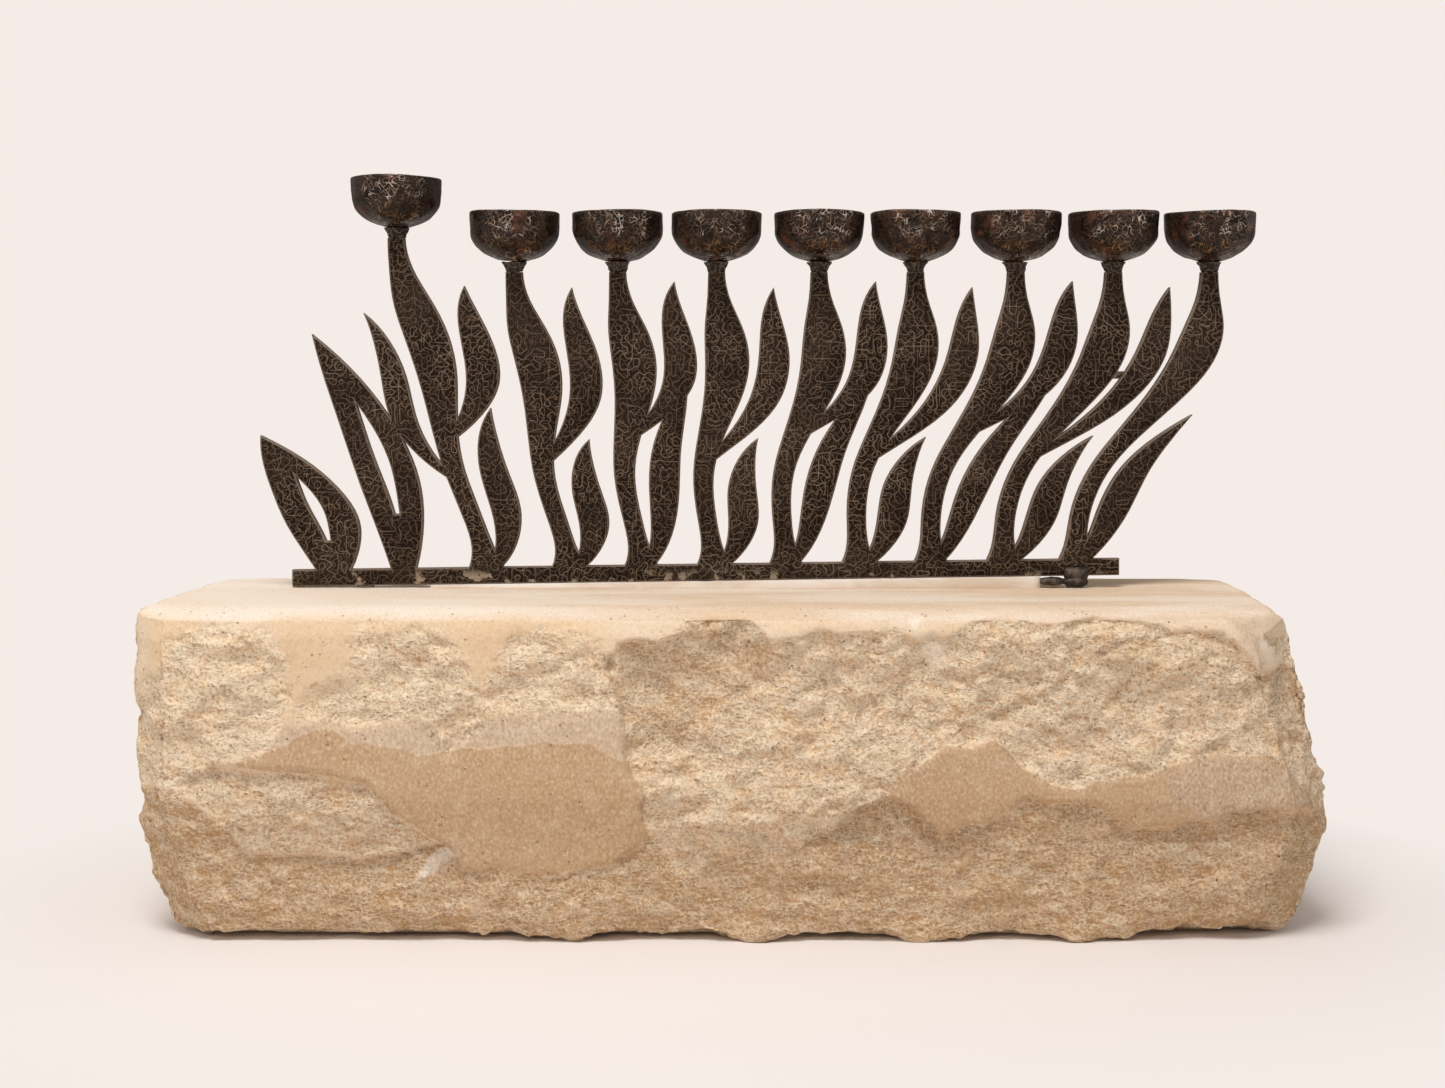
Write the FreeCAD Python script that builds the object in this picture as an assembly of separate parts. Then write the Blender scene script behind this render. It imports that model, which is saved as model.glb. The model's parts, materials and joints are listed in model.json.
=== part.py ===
"""A nine-light Hanukkah lamp: an openwork iron plate of leafy boughs that stands on edge on a
rock-faced limestone block, and carries nine hammered bowls, eight in a row and one raised.

The block is a rough-hewn polyhedron with a sawn top and underside. Three steel anchor pins stand
in resin in its drilled holes and are welded under the plate's foot rail. A pale mortar bed fills
the wedge between the block and the rail. Each bough ends in a neck with a tenon. A cone-shaped
collar drops over the tenon, and the flat bottom of a bowl is brazed on top.

Frame: the origin is on the table under the middle of the whole object, +X to the right,
+Y to the back, +Z up. All lengths are millimetres.
"""

import FreeCAD
import Part
import math
import os

# The stone block: its outer size, and the depth of the hewing on its faces
stone_width = 378.0
stone_depth = 116.0
stone_height = 105.0
front_relief = 7.0
back_relief = 4.0

# The iron plate, which stands on the block behind its middle
plate_thickness = 4.0
plate_setback = 18.0

# The foot rail along the plate's lower edge, which climbs a little to the right
rail_length = 284.5
rail_height = 5.8
rail_offset = -8.8
rail_clearance = 0.3
rail_climb = 4.0

# The row of bowls, how far each stands off its even place as a share of the pitch, and the
# raised helper bowl to the row's left
row_pitch = 33.8
row_drift_shares = (-0.036, 0.006, 0.003, 0.035, 0.007, 0.018, 0.0, -0.034)
row_count = len(row_drift_shares)
row_offset = 45.6
row_seat_height = 111.3
helper_gap = 41.2
helper_rise = 11.5

# One bowl: a flat foot, a belly arc up to the shoulder, a wall that flares to the rim,
# and inside it a straight bore, an arc and a flat floor
bowl_rim_radius = 15.5
bowl_flare = 0.3
bowl_wall = 1.8
bowl_height = 16.8
bowl_rim_round = 0.5
bowl_foot_radius = 4.2
bowl_shoulder_height = 10.1
bowl_belly_arc_radius = 12.2
bowl_bore_depth = 6.5
bowl_floor_radius = 4.0
bowl_floor_arc_radius = 10.0
bowl_bottom_thickness = 1.5

# One collar under a bowl, and the tenon of the bough that it drops over
tenon_width = 3.0
tenon_clearance = 0.05
collar_height = 3.5
collar_wall = 0.65
collar_flare = 1.5

# The mortar bed under the rail
mortar_left_gap = 47.6
mortar_right_gap = 27.1
mortar_depth = 9.0
mortar_end_round = 3.0

# The anchor pins under the rail, and the drilled holes that they stand in
pin_radius = 3.0
pin_embedment = 36.0
resin_thickness = 2.0
end_pin_left_inset = 25.0
end_pin_right_inset = 15.0

# The weld bead on the right pin, and the tie bar across a gap of the openwork
bead_radius = 2.3
bead_length = 9.0
bead_rise = 0.7
tie_bar_height = 2.6
tie_bar_length = 12.0

# The boughs and leaves of the openwork, measured level across the plate
bough_width = 6.6
bough_sway = 5.0
leaf_width = 11.4
slit_width = 4.6

# Shares of a bough's height where its width is set, and its width there
bough_height_shares = (0.0, 0.07, 0.18, 0.34, 0.48, 0.60, 0.71, 0.82, 0.91, 0.96, 1.0)
bough_girth_shares = (2.3, 1.25, 1.0, 1.1, 1.5, 2.05, 2.3, 1.95, 1.2, 0.95, 0.87)
# Stations along a leaf, its half width there, and how far out it stands there
leaf_station_shares = (0.0, 0.16, 0.38, 0.62, 0.84, 1.0)
leaf_swell_shares = (0.35, 0.70, 1.0, 0.92, 0.54, 0.0)
leaf_reach_shares = (0.0, 0.60, 0.96, 1.0, 1.02, 1.14)
# Where the boughs stand, as shares of the rail's length
helper_root_share = 0.235
first_root_share = 0.335
root_step_share = 0.0875
# Leaves of a bough: where one starts and ends as shares of the height, its side, its distance
# from the bough as a share of the local pitch, and its girth share
helper_leaf_shares = (
    (0.0, 0.50, 1, 0.50, 1.15),
    (0.28, 0.78, -1, 0.49, 0.90),
    (0.40, 0.86, 1, 0.52, 1.10),
)
row_leaf_shares = (
    (
        (0.0, 0.66, 1, 0.50, 1.15),
        (0.44, 0.97, 1, 0.50, 1.05),
    ),
    (
        (0.0, 0.45, 1, 0.50, 1.20),
        (0.36, 0.95, 1, 0.50, 1.05),
    ),
)
last_leaf_shares = ((0.0, 0.52, 1, 0.45, 1.25),)
# Large leaves at the rail's left end: root share of the rail, tip's shift in row pitches,
# height share of the row's seat height, girth share of the leaf width
end_leaf_shares = (
    (0.050, -0.72, 0.47, 2.2),
    (0.135, -0.90, 0.78, 1.80),
)
# The part of an end leaf's height that its slit takes, from heel to tip
slit_station_shares = (0.26, 0.36, 0.46, 0.56, 0.64, 0.72)

# Levels of the block's corner rings as shares of its height, from the table up
level_shares = (0.0, 0.022, 0.10, 0.19, 0.30, 0.36, 0.42, 0.56, 0.73, 0.82, 0.90, 0.965, 1.0)
# Reach of the block's left and right ends at each level, as shares of its half width
left_reach_shares = (
    0.906, 0.925, 0.944, 0.967, 0.978, 0.985, 0.992, 0.997, 1.0, 0.999, 0.998, 0.991, 0.980,
)
right_reach_shares = (
    0.913, 0.927, 0.954, 0.972, 0.991, 0.995, 1.0, 0.980, 0.952, 0.939, 0.927, 0.914, 0.898,
)
# Columns of the front face, as shares of the reach, and how far each corner lies behind the
# front of the block, as shares of the front relief. The first row is at the table.
front_column_shares = (
    -0.93, -0.78, -0.60, -0.42, -0.29, -0.21, -0.15, -0.06, 0.03, 0.18, 0.34, 0.48, 0.62, 0.78, 0.92,
)
front_hewing_shares = (
    (1.80, 1.70, 1.70, 1.70, 0.60, 1.70, 1.70, 1.70, 0.60, 1.70, 0.60, 1.70, 0.60, 2.20, 2.80),
    (1.00, 1.00, 1.00, 1.00, 0.60, 0.95, 1.00, 1.00, 0.65, 1.00, 0.65, 1.05, 0.65, 1.10, 1.45),
    (0.85, 0.70, 0.80, 0.80, 0.55, 0.70, 0.90, 1.00, 1.00, 0.95, 0.95, 0.90, 0.90, 0.80, 1.15),
    (0.75, 0.85, 1.00, 0.90, 0.70, 0.85, 0.85, 0.85, 0.80, 0.70, 0.85, 0.80, 0.80, 0.70, 0.80),
    (0.60, 0.50, 0.75, 0.55, 0.50, 0.50, 0.70, 0.70, 0.55, 0.70, 1.00, 0.70, 0.80, 0.80, 0.65),
    (0.45, 0.20, 0.50, 0.30, 0.35, 0.35, 0.40, 0.30, 0.00, 0.80, 0.65, 0.60, 0.60, 0.65, 0.40),
    (0.35, 0.25, 0.35, 0.10, 0.15, 0.10, 0.10, 0.20, 0.05, 0.05, 0.20, 0.25, 0.20, 0.05, 0.15),
    (0.45, 0.25, 0.10, 0.15, 0.10, 0.05, 0.35, 0.35, 0.55, 0.10, 0.05, 0.20, 0.25, 0.20, 0.45),
    (0.50, 0.30, 0.45, 0.45, 0.35, 0.35, 1.00, 1.15, 1.05, 0.80, 0.80, 0.60, 0.60, 0.75, 0.75),
    (0.65, 0.35, 0.55, 0.45, 0.40, 0.55, 1.25, 1.35, 1.30, 0.65, 0.85, 0.55, 0.35, 0.55, 0.80),
    (0.80, 0.50, 0.60, 0.50, 0.55, 0.45, 0.45, 1.10, 0.95, 0.65, 0.80, 0.50, 0.45, 0.55, 0.85),
    (1.10, 0.85, 0.80, 0.80, 0.80, 0.80, 0.75, 0.85, 0.85, 0.75, 0.75, 0.90, 1.00, 0.80, 1.15),
    (1.70, 1.65, 1.65, 1.65, 1.65, 1.65, 1.65, 1.65, 1.65, 1.65, 1.65, 1.65, 1.65, 1.70, 1.80),
)
# Corners round each end of the block: share of the reach, and place as a share of the half depth
end_corner_shares = ((1.0, -0.72), (0.992, -0.38), (0.998, 0.05), (0.99, 0.48), (0.982, 0.82))
# How much wider the right end grows at each level towards the back, per half depth, as shares of
# the reach
right_turn_shares = (0.0, 0.0, 0.0, 0.0, 0.0, 0.0, 0.0, 0.006, 0.016, 0.021, 0.026, 0.032, 0.034)
# Columns of the back face, as shares of the reach
back_column_shares = (0.90, 0.66, 0.40, 0.14, -0.12, -0.38, -0.64, -0.89)
# How far the back leans in at each level, as shares of the half depth, and how fast its hewing
# comes and goes from column to column and from level to level
back_lean_shares = (0.15, 0.08, 0.05, 0.02, 0.01, 0.01, 0.0, 0.0, 0.01, 0.01, 0.01, 0.02, 0.03)
back_turn_shares = (2.1, 1.3)
back_proud_column = 3
back_proud_level = 6

half = 0.5


def spline(points):
    """A smooth edge through the points."""
    curve = Part.BSplineCurve()
    curve.interpolate(points)
    return curve.toShape()


def flat_face(corners):
    """A face with straight edges from corner to corner."""
    return Part.Face(Part.makePolygon(corners + corners[:1]))


def ribbon(course, half_widths, pointed):
    """A flat face along a rising course, its widths measured level, that ends in a point or a flat top."""
    sides = []
    stations = len(course) - 1 if pointed else len(course)
    for way in (-1, 1):
        side = [course[i] + FreeCAD.Vector(way * half_widths[i], 0, 0) for i in range(stations)]
        if pointed:
            side.append(course[-1])
        sides.append(side)
    left, right = sides
    edges = [spline(left), spline(right), Part.makeLine(left[0], right[0])]
    if not pointed:
        edges.append(Part.makeLine(left[-1], right[-1]))
    return Part.Face(Part.Wire(Part.__sortEdges__(edges)))


def plate_point(x, height):
    """A point of the plate's front face, at a height above the block's top."""
    return FreeCAD.Vector(x, plate_setback - half * plate_thickness, stone_height + height)


def rail_left_x():
    """Where the rail's left end is."""
    return rail_offset - half * rail_length


def rail_foot_height(x):
    """Height of the rail's sloping lower edge above the block's top."""
    return rail_clearance + rail_climb * (x - rail_left_x()) / rail_length


def rail_face():
    """The foot rail's front face."""
    left, right = rail_left_x(), rail_left_x() + rail_length
    corners = [
        plate_point(left, rail_foot_height(left)),
        plate_point(left, rail_foot_height(left) + rail_height),
        plate_point(right, rail_foot_height(right) + rail_height),
        plate_point(right, rail_foot_height(right)),
    ]
    return flat_face(corners)


def bowl_places():
    """Name, x and seat height above the block's top of every bowl, the helper first."""
    first_x = row_offset - half * (row_count - 1) * row_pitch
    places = [("helper", first_x - helper_gap, row_seat_height + helper_rise)]
    for i, drift in enumerate(row_drift_shares):
        places.append((f"row_{i + 1}", first_x + (i + drift) * row_pitch, row_seat_height))
    return places


def root_x(index):
    """Where bough number index stands on the rail. Number 0 is the helper's."""
    share = helper_root_share if index == 0 else first_root_share + (index - 1) * root_step_share
    return rail_left_x() + share * rail_length


def ease(share):
    """A share that starts and ends gently, so that a bough leaves the rail and meets its bowl upright."""
    return share * share * (3 - 2 * share)


def local_pitch(share):
    """Sideways distance between neighbouring boughs at a share of their height."""
    foot_pitch = root_step_share * rail_length
    return foot_pitch + (row_pitch - foot_pitch) * ease(share)


def bough_point(index, share, offset_share=0):
    """A point beside a bough's centre line, offset sideways by a share of the local pitch."""
    name, top_x, seat = bowl_places()[index]
    foot_x = root_x(index)
    foot = rail_foot_height(foot_x) + half * rail_height
    top = seat - collar_height
    sway = bough_sway * math.sin(2 * math.pi * share) * math.sin(math.pi * share)
    x = foot_x + ease(share) * (top_x - foot_x) - sway + offset_share * local_pitch(share)
    return plate_point(x, foot + share * (top - foot))


def leaf_face(index, start, end, side, distance, girth):
    """A long pointed leaf that springs from its bough, swings clear and runs beside it."""
    course = []
    half_widths = []
    for station, swell, reach in zip(leaf_station_shares, leaf_swell_shares, leaf_reach_shares):
        share = start + station * (end - start)
        course.append(bough_point(index, share, side * reach * distance))
        half_widths.append(half * leaf_width * girth * swell * local_pitch(share) / row_pitch)
    return ribbon(course, half_widths, pointed=True)


def leaves_of(index):
    """The leaf shares of bough number index."""
    if index == 0:
        return helper_leaf_shares
    if index == row_count:
        return last_leaf_shares
    return row_leaf_shares[index % len(row_leaf_shares)]


def bough_faces(index):
    """A bough from the rail to its bowl's collar, and its leaves."""
    course = [bough_point(index, share) for share in bough_height_shares]
    half_widths = [half * bough_width * girth for girth in bough_girth_shares]
    faces = [ribbon(course, half_widths, pointed=False)]
    for start, end, side, distance, girth in leaves_of(index):
        faces.append(leaf_face(index, start, end, side, distance, girth))
    return faces


def end_leaf_point(shares, station):
    """A point on the centre line of an end leaf, which leans out over the rail's left end."""
    root_share, shift_share, height_share, girth = shares
    foot_x = rail_left_x() + root_share * rail_length
    foot = rail_foot_height(foot_x) + half * rail_height
    x = foot_x + shift_share * row_pitch * station * station
    return plate_point(x, foot + station * (height_share * row_seat_height - foot))


def end_leaf_face(shares):
    """A broad leaf that rises straight from the rail."""
    girth = shares[-1]
    course = [end_leaf_point(shares, station) for station in leaf_station_shares]
    half_widths = [half * leaf_width * girth * swell for swell in leaf_swell_shares]
    return ribbon(course, half_widths, pointed=True)


def end_slit_face(shares):
    """The slit along the middle of an end leaf."""
    course = [end_leaf_point(shares, station) for station in slit_station_shares]
    half_widths = [half * slit_width * swell for swell in leaf_swell_shares]
    return ribbon(course, half_widths, pointed=True)


def openwork_outline():
    """The plate's whole outline as one flat face."""
    faces = [rail_face()]
    for shares in end_leaf_shares:
        faces.append(end_leaf_face(shares))
    for index in range(row_count + 1):
        faces += bough_faces(index)
    whole = faces[0].fuse(faces[1:]).removeSplitter()
    return whole.cut([end_slit_face(shares) for shares in end_leaf_shares])


def tenon(place):
    """The rectangular end of a bough, from the shoulder under its collar up to its bowl."""
    name, x, seat = place
    corner = plate_point(x - half * tenon_width, seat - collar_height)
    return Part.makeBox(tenon_width, plate_thickness, collar_height, corner)


def openwork_plate():
    """The iron plate with its tenons."""
    plate = openwork_outline().extrude(FreeCAD.Vector(0, plate_thickness, 0))
    return plate.fuse([tenon(place) for place in bowl_places()]).removeSplitter()


def tie_bar(plate):
    """A short bar across the gap between the last bough but one and its upper leaf."""
    start, end, side, distance, girth = leaves_of(row_count - 1)[-1]
    share = (start + end) * half
    middle = bough_point(row_count - 1, share, half * distance)
    corner = middle - FreeCAD.Vector(half * tie_bar_length, 0, half * tie_bar_height)
    bar = Part.makeBox(tie_bar_length, plate_thickness, tie_bar_height, corner).cut(plate)
    return min(bar.Solids, key=lambda solid: solid.CenterOfMass.distanceToPoint(middle))


def arc_point(start, end, radius):
    """The middle of an arc in a section, to the right of the way from start to end if radius is positive."""
    chord = end - start
    sagitta = abs(radius) - math.sqrt(radius ** 2 - (half * chord.Length) ** 2)
    outward = FreeCAD.Vector(chord.z, 0, -chord.x).normalize()
    return (start + end) * half + outward * math.copysign(sagitta, radius)


def turned(outline, arcs):
    """A solid turned about Z from a section of (radius, height) points, with arcs by edge number."""
    points = [FreeCAD.Vector(radius, 0, height) for radius, height in outline]
    edges = []
    for i, (start, end) in enumerate(zip(points, points[1:] + points[:1])):
        if i in arcs:
            edges.append(Part.Arc(start, arc_point(start, end, arcs[i]), end).toShape())
        else:
            edges.append(Part.makeLine(start, end))
    section = Part.Face(Part.Wire(edges))
    return section.revolve(FreeCAD.Vector(0, 0, 0), FreeCAD.Vector(0, 0, 1), 360)


def on_stem(shape, x, height):
    """A shape moved from the frame's origin to a stem's axis, at a height above the block's top."""
    shape.translate(FreeCAD.Vector(x, plate_setback, stone_height + height))
    return shape


def bowl(x, seat):
    """A bowl of revolution that stands on its collar."""
    bore_radius = bowl_rim_radius - bowl_wall
    outline = [
        (0, 0),
        (bowl_foot_radius, 0),
        (bowl_rim_radius - bowl_flare, bowl_shoulder_height),
        (bowl_rim_radius, bowl_height),
        (bore_radius, bowl_height),
        (bore_radius, bowl_height - bowl_bore_depth),
        (bowl_floor_radius, bowl_bottom_thickness),
        (0, bowl_bottom_thickness),
    ]
    solid = turned(outline, {1: bowl_belly_arc_radius, 5: -bowl_floor_arc_radius})
    rims = [edge for edge in solid.Edges if edge.BoundBox.ZMin > bowl_height - half * bowl_rim_round]
    return on_stem(solid.makeFillet(bowl_rim_round, rims), x, seat)


def collar(x, seat):
    """A cone that widens up to its bowl, with a mortise over the tenon."""
    width = tenon_width + 2 * tenon_clearance
    depth = plate_thickness + 2 * tenon_clearance
    foot_radius = half * math.hypot(width, depth) + collar_wall
    cone = Part.makeCone(foot_radius, foot_radius + collar_flare, collar_height)
    mortise = Part.makeBox(width, depth, collar_height, FreeCAD.Vector(-half * width, -half * depth, 0))
    return on_stem(cone.cut(mortise), x, seat - collar_height)


def pin_places():
    """Name and x of each anchor pin."""
    left, right = rail_left_x() + end_pin_left_inset, rail_left_x() + rail_length - end_pin_right_inset
    return [("left", left), ("middle", rail_offset), ("right", right)]


def below_rail(shape):
    """The part of a shape that lies under the rail's sloping lower edge."""
    left, right = rail_left_x(), rail_left_x() + rail_length
    corners = [
        plate_point(left, rail_foot_height(left)),
        plate_point(left, -stone_height),
        plate_point(right, -stone_height),
        plate_point(right, rail_foot_height(right)),
    ]
    side = flat_face(corners)
    side.translate(FreeCAD.Vector(0, -stone_depth, 0))
    return shape.common(side.extrude(FreeCAD.Vector(0, 2 * stone_depth, 0)))


def anchor_pin(x):
    """A steel pin from its drilled hole up to the rail's underside."""
    pin = Part.makeCylinder(pin_radius, pin_embedment + rail_clearance + rail_climb)
    return below_rail(on_stem(pin, x, -pin_embedment))


def drilled_hole(x):
    """The hole for a pin, wider and deeper than the pin by the resin's thickness."""
    depth = pin_embedment + resin_thickness
    return on_stem(Part.makeCylinder(pin_radius + resin_thickness, depth), x, -depth)


def anchor_resin(x):
    """The resin that fills a drilled hole round its pin."""
    return drilled_hole(x).cut(anchor_pin(x))


def mortar_bed():
    """The wedge of mortar between the block and the rail."""
    left = rail_left_x() + mortar_left_gap
    length = rail_length - mortar_left_gap - mortar_right_gap
    corner = FreeCAD.Vector(left, plate_setback - half * mortar_depth, stone_height)
    bed = Part.makeBox(length, mortar_depth, rail_clearance + rail_climb, corner)
    ends = [edge for edge in bed.Edges if edge.BoundBox.ZLength > half * rail_climb]
    bed = below_rail(bed.makeFillet(mortar_end_round, ends))
    return bed.cut([anchor_pin(x) for name, x in pin_places()])


def anchor_weld_bead():
    """A rounded bead of weld on the rail's front, over the right pin."""
    name, x = pin_places()[-1]
    run = bead_length - 2 * bead_radius
    bead = Part.makeCylinder(bead_radius, run, FreeCAD.Vector(-half * run, 0, 0), FreeCAD.Vector(1, 0, 0))
    for way in (-1, 1):
        bead = bead.fuse(Part.makeSphere(bead_radius, FreeCAD.Vector(way * half * run, 0, 0)))
    bead.translate(plate_point(x, rail_foot_height(x) + bead_rise))
    behind = Part.makeBox(rail_length, stone_depth, stone_height, plate_point(rail_left_x(), 0))
    return bead.removeSplitter().cut([behind, anchor_pin(x)])


def ring(level):
    """The corners of the block's plan at one level, from the front left, counterclockwise."""
    left = half * stone_width * left_reach_shares[level]
    right = half * stone_width * right_reach_shares[level]
    height = stone_height * level_shares[level]
    corners = []
    for column, hewing in zip(front_column_shares, front_hewing_shares[level]):
        x = column * (right if column > 0 else left)
        corners.append((x, front_relief * hewing - half * stone_depth))
    first_depth = end_corner_shares[0][1]
    last_depth = end_corner_shares[-1][1]
    turn = right_turn_shares[level]
    for reach, depth in end_corner_shares:
        corners.append((right * (reach + turn * (depth - first_depth)), half * stone_depth * depth))
    column_turn, level_turn = back_turn_shares
    level_proud = math.cos(level_turn * (level - back_proud_level))
    for i, column in enumerate(back_column_shares):
        x = column * (right * (1 + turn * (last_depth - first_depth)) if column > 0 else left)
        proud = level_proud * math.cos(column_turn * (i - back_proud_column))
        hewing = back_relief * half * (1 - proud)
        corners.append((x, half * stone_depth * (1 - back_lean_shares[level]) - hewing))
    for reach, depth in reversed(end_corner_shares):
        corners.append((-left * reach, half * stone_depth * depth))
    return [FreeCAD.Vector(x, y, height) for x, y in corners]


def stone_block():
    """The hewn block with its drilled holes."""
    rings = [ring(level) for level in range(len(level_shares))]
    faces = [flat_face(rings[0]), flat_face(rings[-1])]
    count = len(rings[0])
    for lower, upper in zip(rings, rings[1:]):
        for i in range(count):
            j = (i + 1) % count
            faces.append(flat_face([lower[i], lower[j], upper[j]]))
            faces.append(flat_face([lower[i], upper[j], upper[i]]))
    block = Part.Solid(Part.Shell(faces))
    return block.cut([drilled_hole(x) for name, x in pin_places()])


def save(name, shape):
    """Writes one sub-part to its file and says what it holds."""
    shape.exportStep(f"parts/{name}.step")
    box = shape.BoundBox
    print(name, "solids", len(shape.Solids), "valid", shape.isValid(), "volume", round(shape.Volume, 1),
          "x", round(box.XMin, 2), round(box.XMax, 2), "y", round(box.YMin, 2), round(box.YMax, 2),
          "z", round(box.ZMin, 2), round(box.ZMax, 2))


def main():
    os.makedirs("parts", exist_ok=True)
    plate = openwork_plate()
    save("stone_block", stone_block())
    save("openwork_plate", plate)
    save("tie_bar", tie_bar(plate))
    save("mortar_bed", mortar_bed())
    save("anchor_weld_bead", anchor_weld_bead())
    for name, x in pin_places():
        save(f"anchor_pin_{name}", anchor_pin(x))
        save(f"anchor_resin_{name}", anchor_resin(x))
    for name, x, seat in bowl_places():
        save(f"{name}_bowl", bowl(x, seat))
        save(f"{name}_collar", collar(x, seat))


if __name__ == "__main__":
    main()
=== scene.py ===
# %% [markdown]
# # A nine-light Hanukkah lamp on a rock-faced block
# This lesson dresses a finished CAD model. The model brings the exact sizes and places: a limestone
# block, an iron plate cut into boughs and leaves, nine bowls and the collars under them. What it
# lacks is the look of hewn stone and hammered iron. Each step below takes one piece, says what the
# real one is like, and then makes it with the tools that you would use by hand in Blender.

# %% Load the frame
import json
import math
import bpy
import numpy as np
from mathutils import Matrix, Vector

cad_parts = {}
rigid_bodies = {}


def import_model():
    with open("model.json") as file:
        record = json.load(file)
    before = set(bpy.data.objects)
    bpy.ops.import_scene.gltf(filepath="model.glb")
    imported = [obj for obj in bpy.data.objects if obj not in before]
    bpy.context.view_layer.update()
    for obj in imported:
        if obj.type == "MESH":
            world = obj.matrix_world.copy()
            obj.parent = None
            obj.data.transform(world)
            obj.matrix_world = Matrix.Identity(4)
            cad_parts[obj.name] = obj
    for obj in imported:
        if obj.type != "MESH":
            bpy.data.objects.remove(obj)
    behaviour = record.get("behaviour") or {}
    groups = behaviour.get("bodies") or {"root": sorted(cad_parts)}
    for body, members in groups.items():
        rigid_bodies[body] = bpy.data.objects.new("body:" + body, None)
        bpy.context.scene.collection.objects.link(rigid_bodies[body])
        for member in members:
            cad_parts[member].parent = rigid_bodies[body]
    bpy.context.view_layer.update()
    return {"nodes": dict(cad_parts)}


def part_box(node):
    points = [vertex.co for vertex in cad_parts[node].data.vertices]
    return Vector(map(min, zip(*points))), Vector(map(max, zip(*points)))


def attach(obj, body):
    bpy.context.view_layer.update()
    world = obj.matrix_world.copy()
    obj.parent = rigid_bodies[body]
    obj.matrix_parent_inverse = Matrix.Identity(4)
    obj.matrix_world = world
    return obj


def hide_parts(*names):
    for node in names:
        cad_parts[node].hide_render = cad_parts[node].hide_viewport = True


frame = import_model()
MM = 0.001
BLOCK_TOP = 105  # millimetres above the table
BOWLS = [name for name in frame["nodes"] if name.endswith("_bowl")]
COLLARS = [name for name in frame["nodes"] if name.endswith("_collar")]

# %% [markdown]
# ## The camera
# The object is seen from the front and from a little above the block's top, so the bowls, which are
# higher, show their undersides. A longer lens further away would flatten it. A 50 mm lens on a
# 36 mm sensor at two thirds of a metre gives the perspective of the real view.

# %% Camera
LENS, SENSOR = 50.07, 36.0  # millimetres
CAMERA_PLACE = (-3, -672, 173)  # millimetres
DOWNWARD = 4.4  # degrees below level


def placed(name, data):
    """A new object in the scene that holds a mesh, a camera or a lamp."""
    thing = bpy.data.objects.new(name, data)
    bpy.context.scene.collection.objects.link(thing)
    return thing


def add_camera():
    data = bpy.data.cameras.new("Camera")
    data.lens = LENS
    data.sensor_width = SENSOR
    camera = placed("Camera", data)
    camera.location = [value * MM for value in CAMERA_PLACE]
    camera.rotation_euler = (math.radians(90 - DOWNWARD), 0, 0)
    bpy.context.scene.camera = camera
    return camera


print("camera", tuple(round(c, 3) for c in add_camera().location))

# %% [markdown]
# ## The limestone block: its chipped patches
# A mason split this block from a bed. The top is sawn and eased. The front is part split face, rough
# and pale, and part old, smoother skin in tan and grey. Each patch has an outline of its own, and
# the surface steps down from one to the next. They could be painted by hand on the mesh, but then
# a change of the mesh would lose them. So the outlines are lists of (x, z) corners in millimetres
# on the block's front, and a signed distance tells how far a point lies inside one.

# %% Outlines of the patches
UPPER_LEFT_ROUGH = ((-195, 78), (-184, 81), (-176, 88), (-173, 96), (-168, 99), (-155, 99),
    (-145, 98), (-139, 93), (-138, 77), (-140, 66), (-146, 61), (-158, 56), (-158, 54), (-161, 45),
    (-170, 50), (-181, 48), (-195, 45))
MIDDLE_ROUGH = ((-114, 98), (-118, 83), (-131, 80), (-135, 71), (-122, 70), (-97, 72), (-91, 68),
    (-81, 70), (-72, 73), (-49, 73), (-35, 73), (-37, 87), (-39, 93), (-47, 95), (-68, 97),
    (-72, 89), (-76, 80), (-83, 86), (-90, 96), (-98, 98), (-106, 96))
HATCHED_ROUGH = ((-95, 68), (-81, 73), (-75, 70), (-86, 63), (-90, 59))
GREAT_FACE = ((-38, 90), (-32, 94), (-23, 95), (-20, 99), (-13, 102), (-1, 102), (6, 100), (12, 95),
    (22, 96), (36, 97), (50, 99), (57, 96), (67, 96), (75, 101), (85, 102), (95, 100), (106, 101),
    (121, 102), (132, 99), (153, 96), (159, 89), (162, 83), (173, 87), (195, 77), (195, 42),
    (183, 44), (179, 47), (172, 57), (162, 61), (152, 61), (141, 57), (128, 54), (112, 53),
    (110, 51), (99, 51), (92, 55), (85, 61), (81, 64), (76, 64), (73, 61), (67, 62), (63, 59),
    (57, 55), (53, 57), (48, 47), (57, 42), (65, 33), (52, 30), (21, 30), (-10, 23), (-17, 23),
    (-23, 30), (-26, 35), (-28, 44), (-29, 51), (-31, 59), (-32, 66), (-34, 73), (-36, 80))
LOWER_BAND = ((-195, 47), (-180, 49), (-171, 50), (-161, 39), (-151, 28), (-137, 28), (-126, 27),
    (-112, 27), (-98, 29), (-89, 31), (-85, 23), (-64, 22), (-55, 21), (-51, 20), (-45, 24),
    (-37, 25), (-32, 29), (-26, 35), (-17, 23), (21, 30), (48, 47), (57, 42), (65, 33), (70, 35),
    (82, 39), (88, 43), (92, 45), (105, 45), (113, 45), (120, 40), (125, 36), (137, 37), (148, 39),
    (158, 41), (165, 42), (195, 42), (195, -8), (-195, -8))
LEFT_SHELL = ((-171, 50), (-158, 55), (-140, 55), (-125, 53), (-115, 50), (-108, 45), (-99, 38),
    (-89, 31), (-98, 29), (-112, 27), (-126, 27), (-137, 28), (-151, 28), (-161, 39))
TAN_PATCH = ((-157, 56), (-145, 62), (-130, 67), (-114, 65), (-97, 61), (-81, 62), (-66, 63),
    (-58, 64), (-43, 64), (-33, 59), (-31, 59), (-29, 51), (-28, 44), (-26, 35), (-32, 29),
    (-37, 25), (-45, 24), (-55, 21), (-64, 22), (-85, 23), (-89, 31), (-99, 38), (-108, 45),
    (-115, 50), (-125, 53), (-140, 55))
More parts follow.
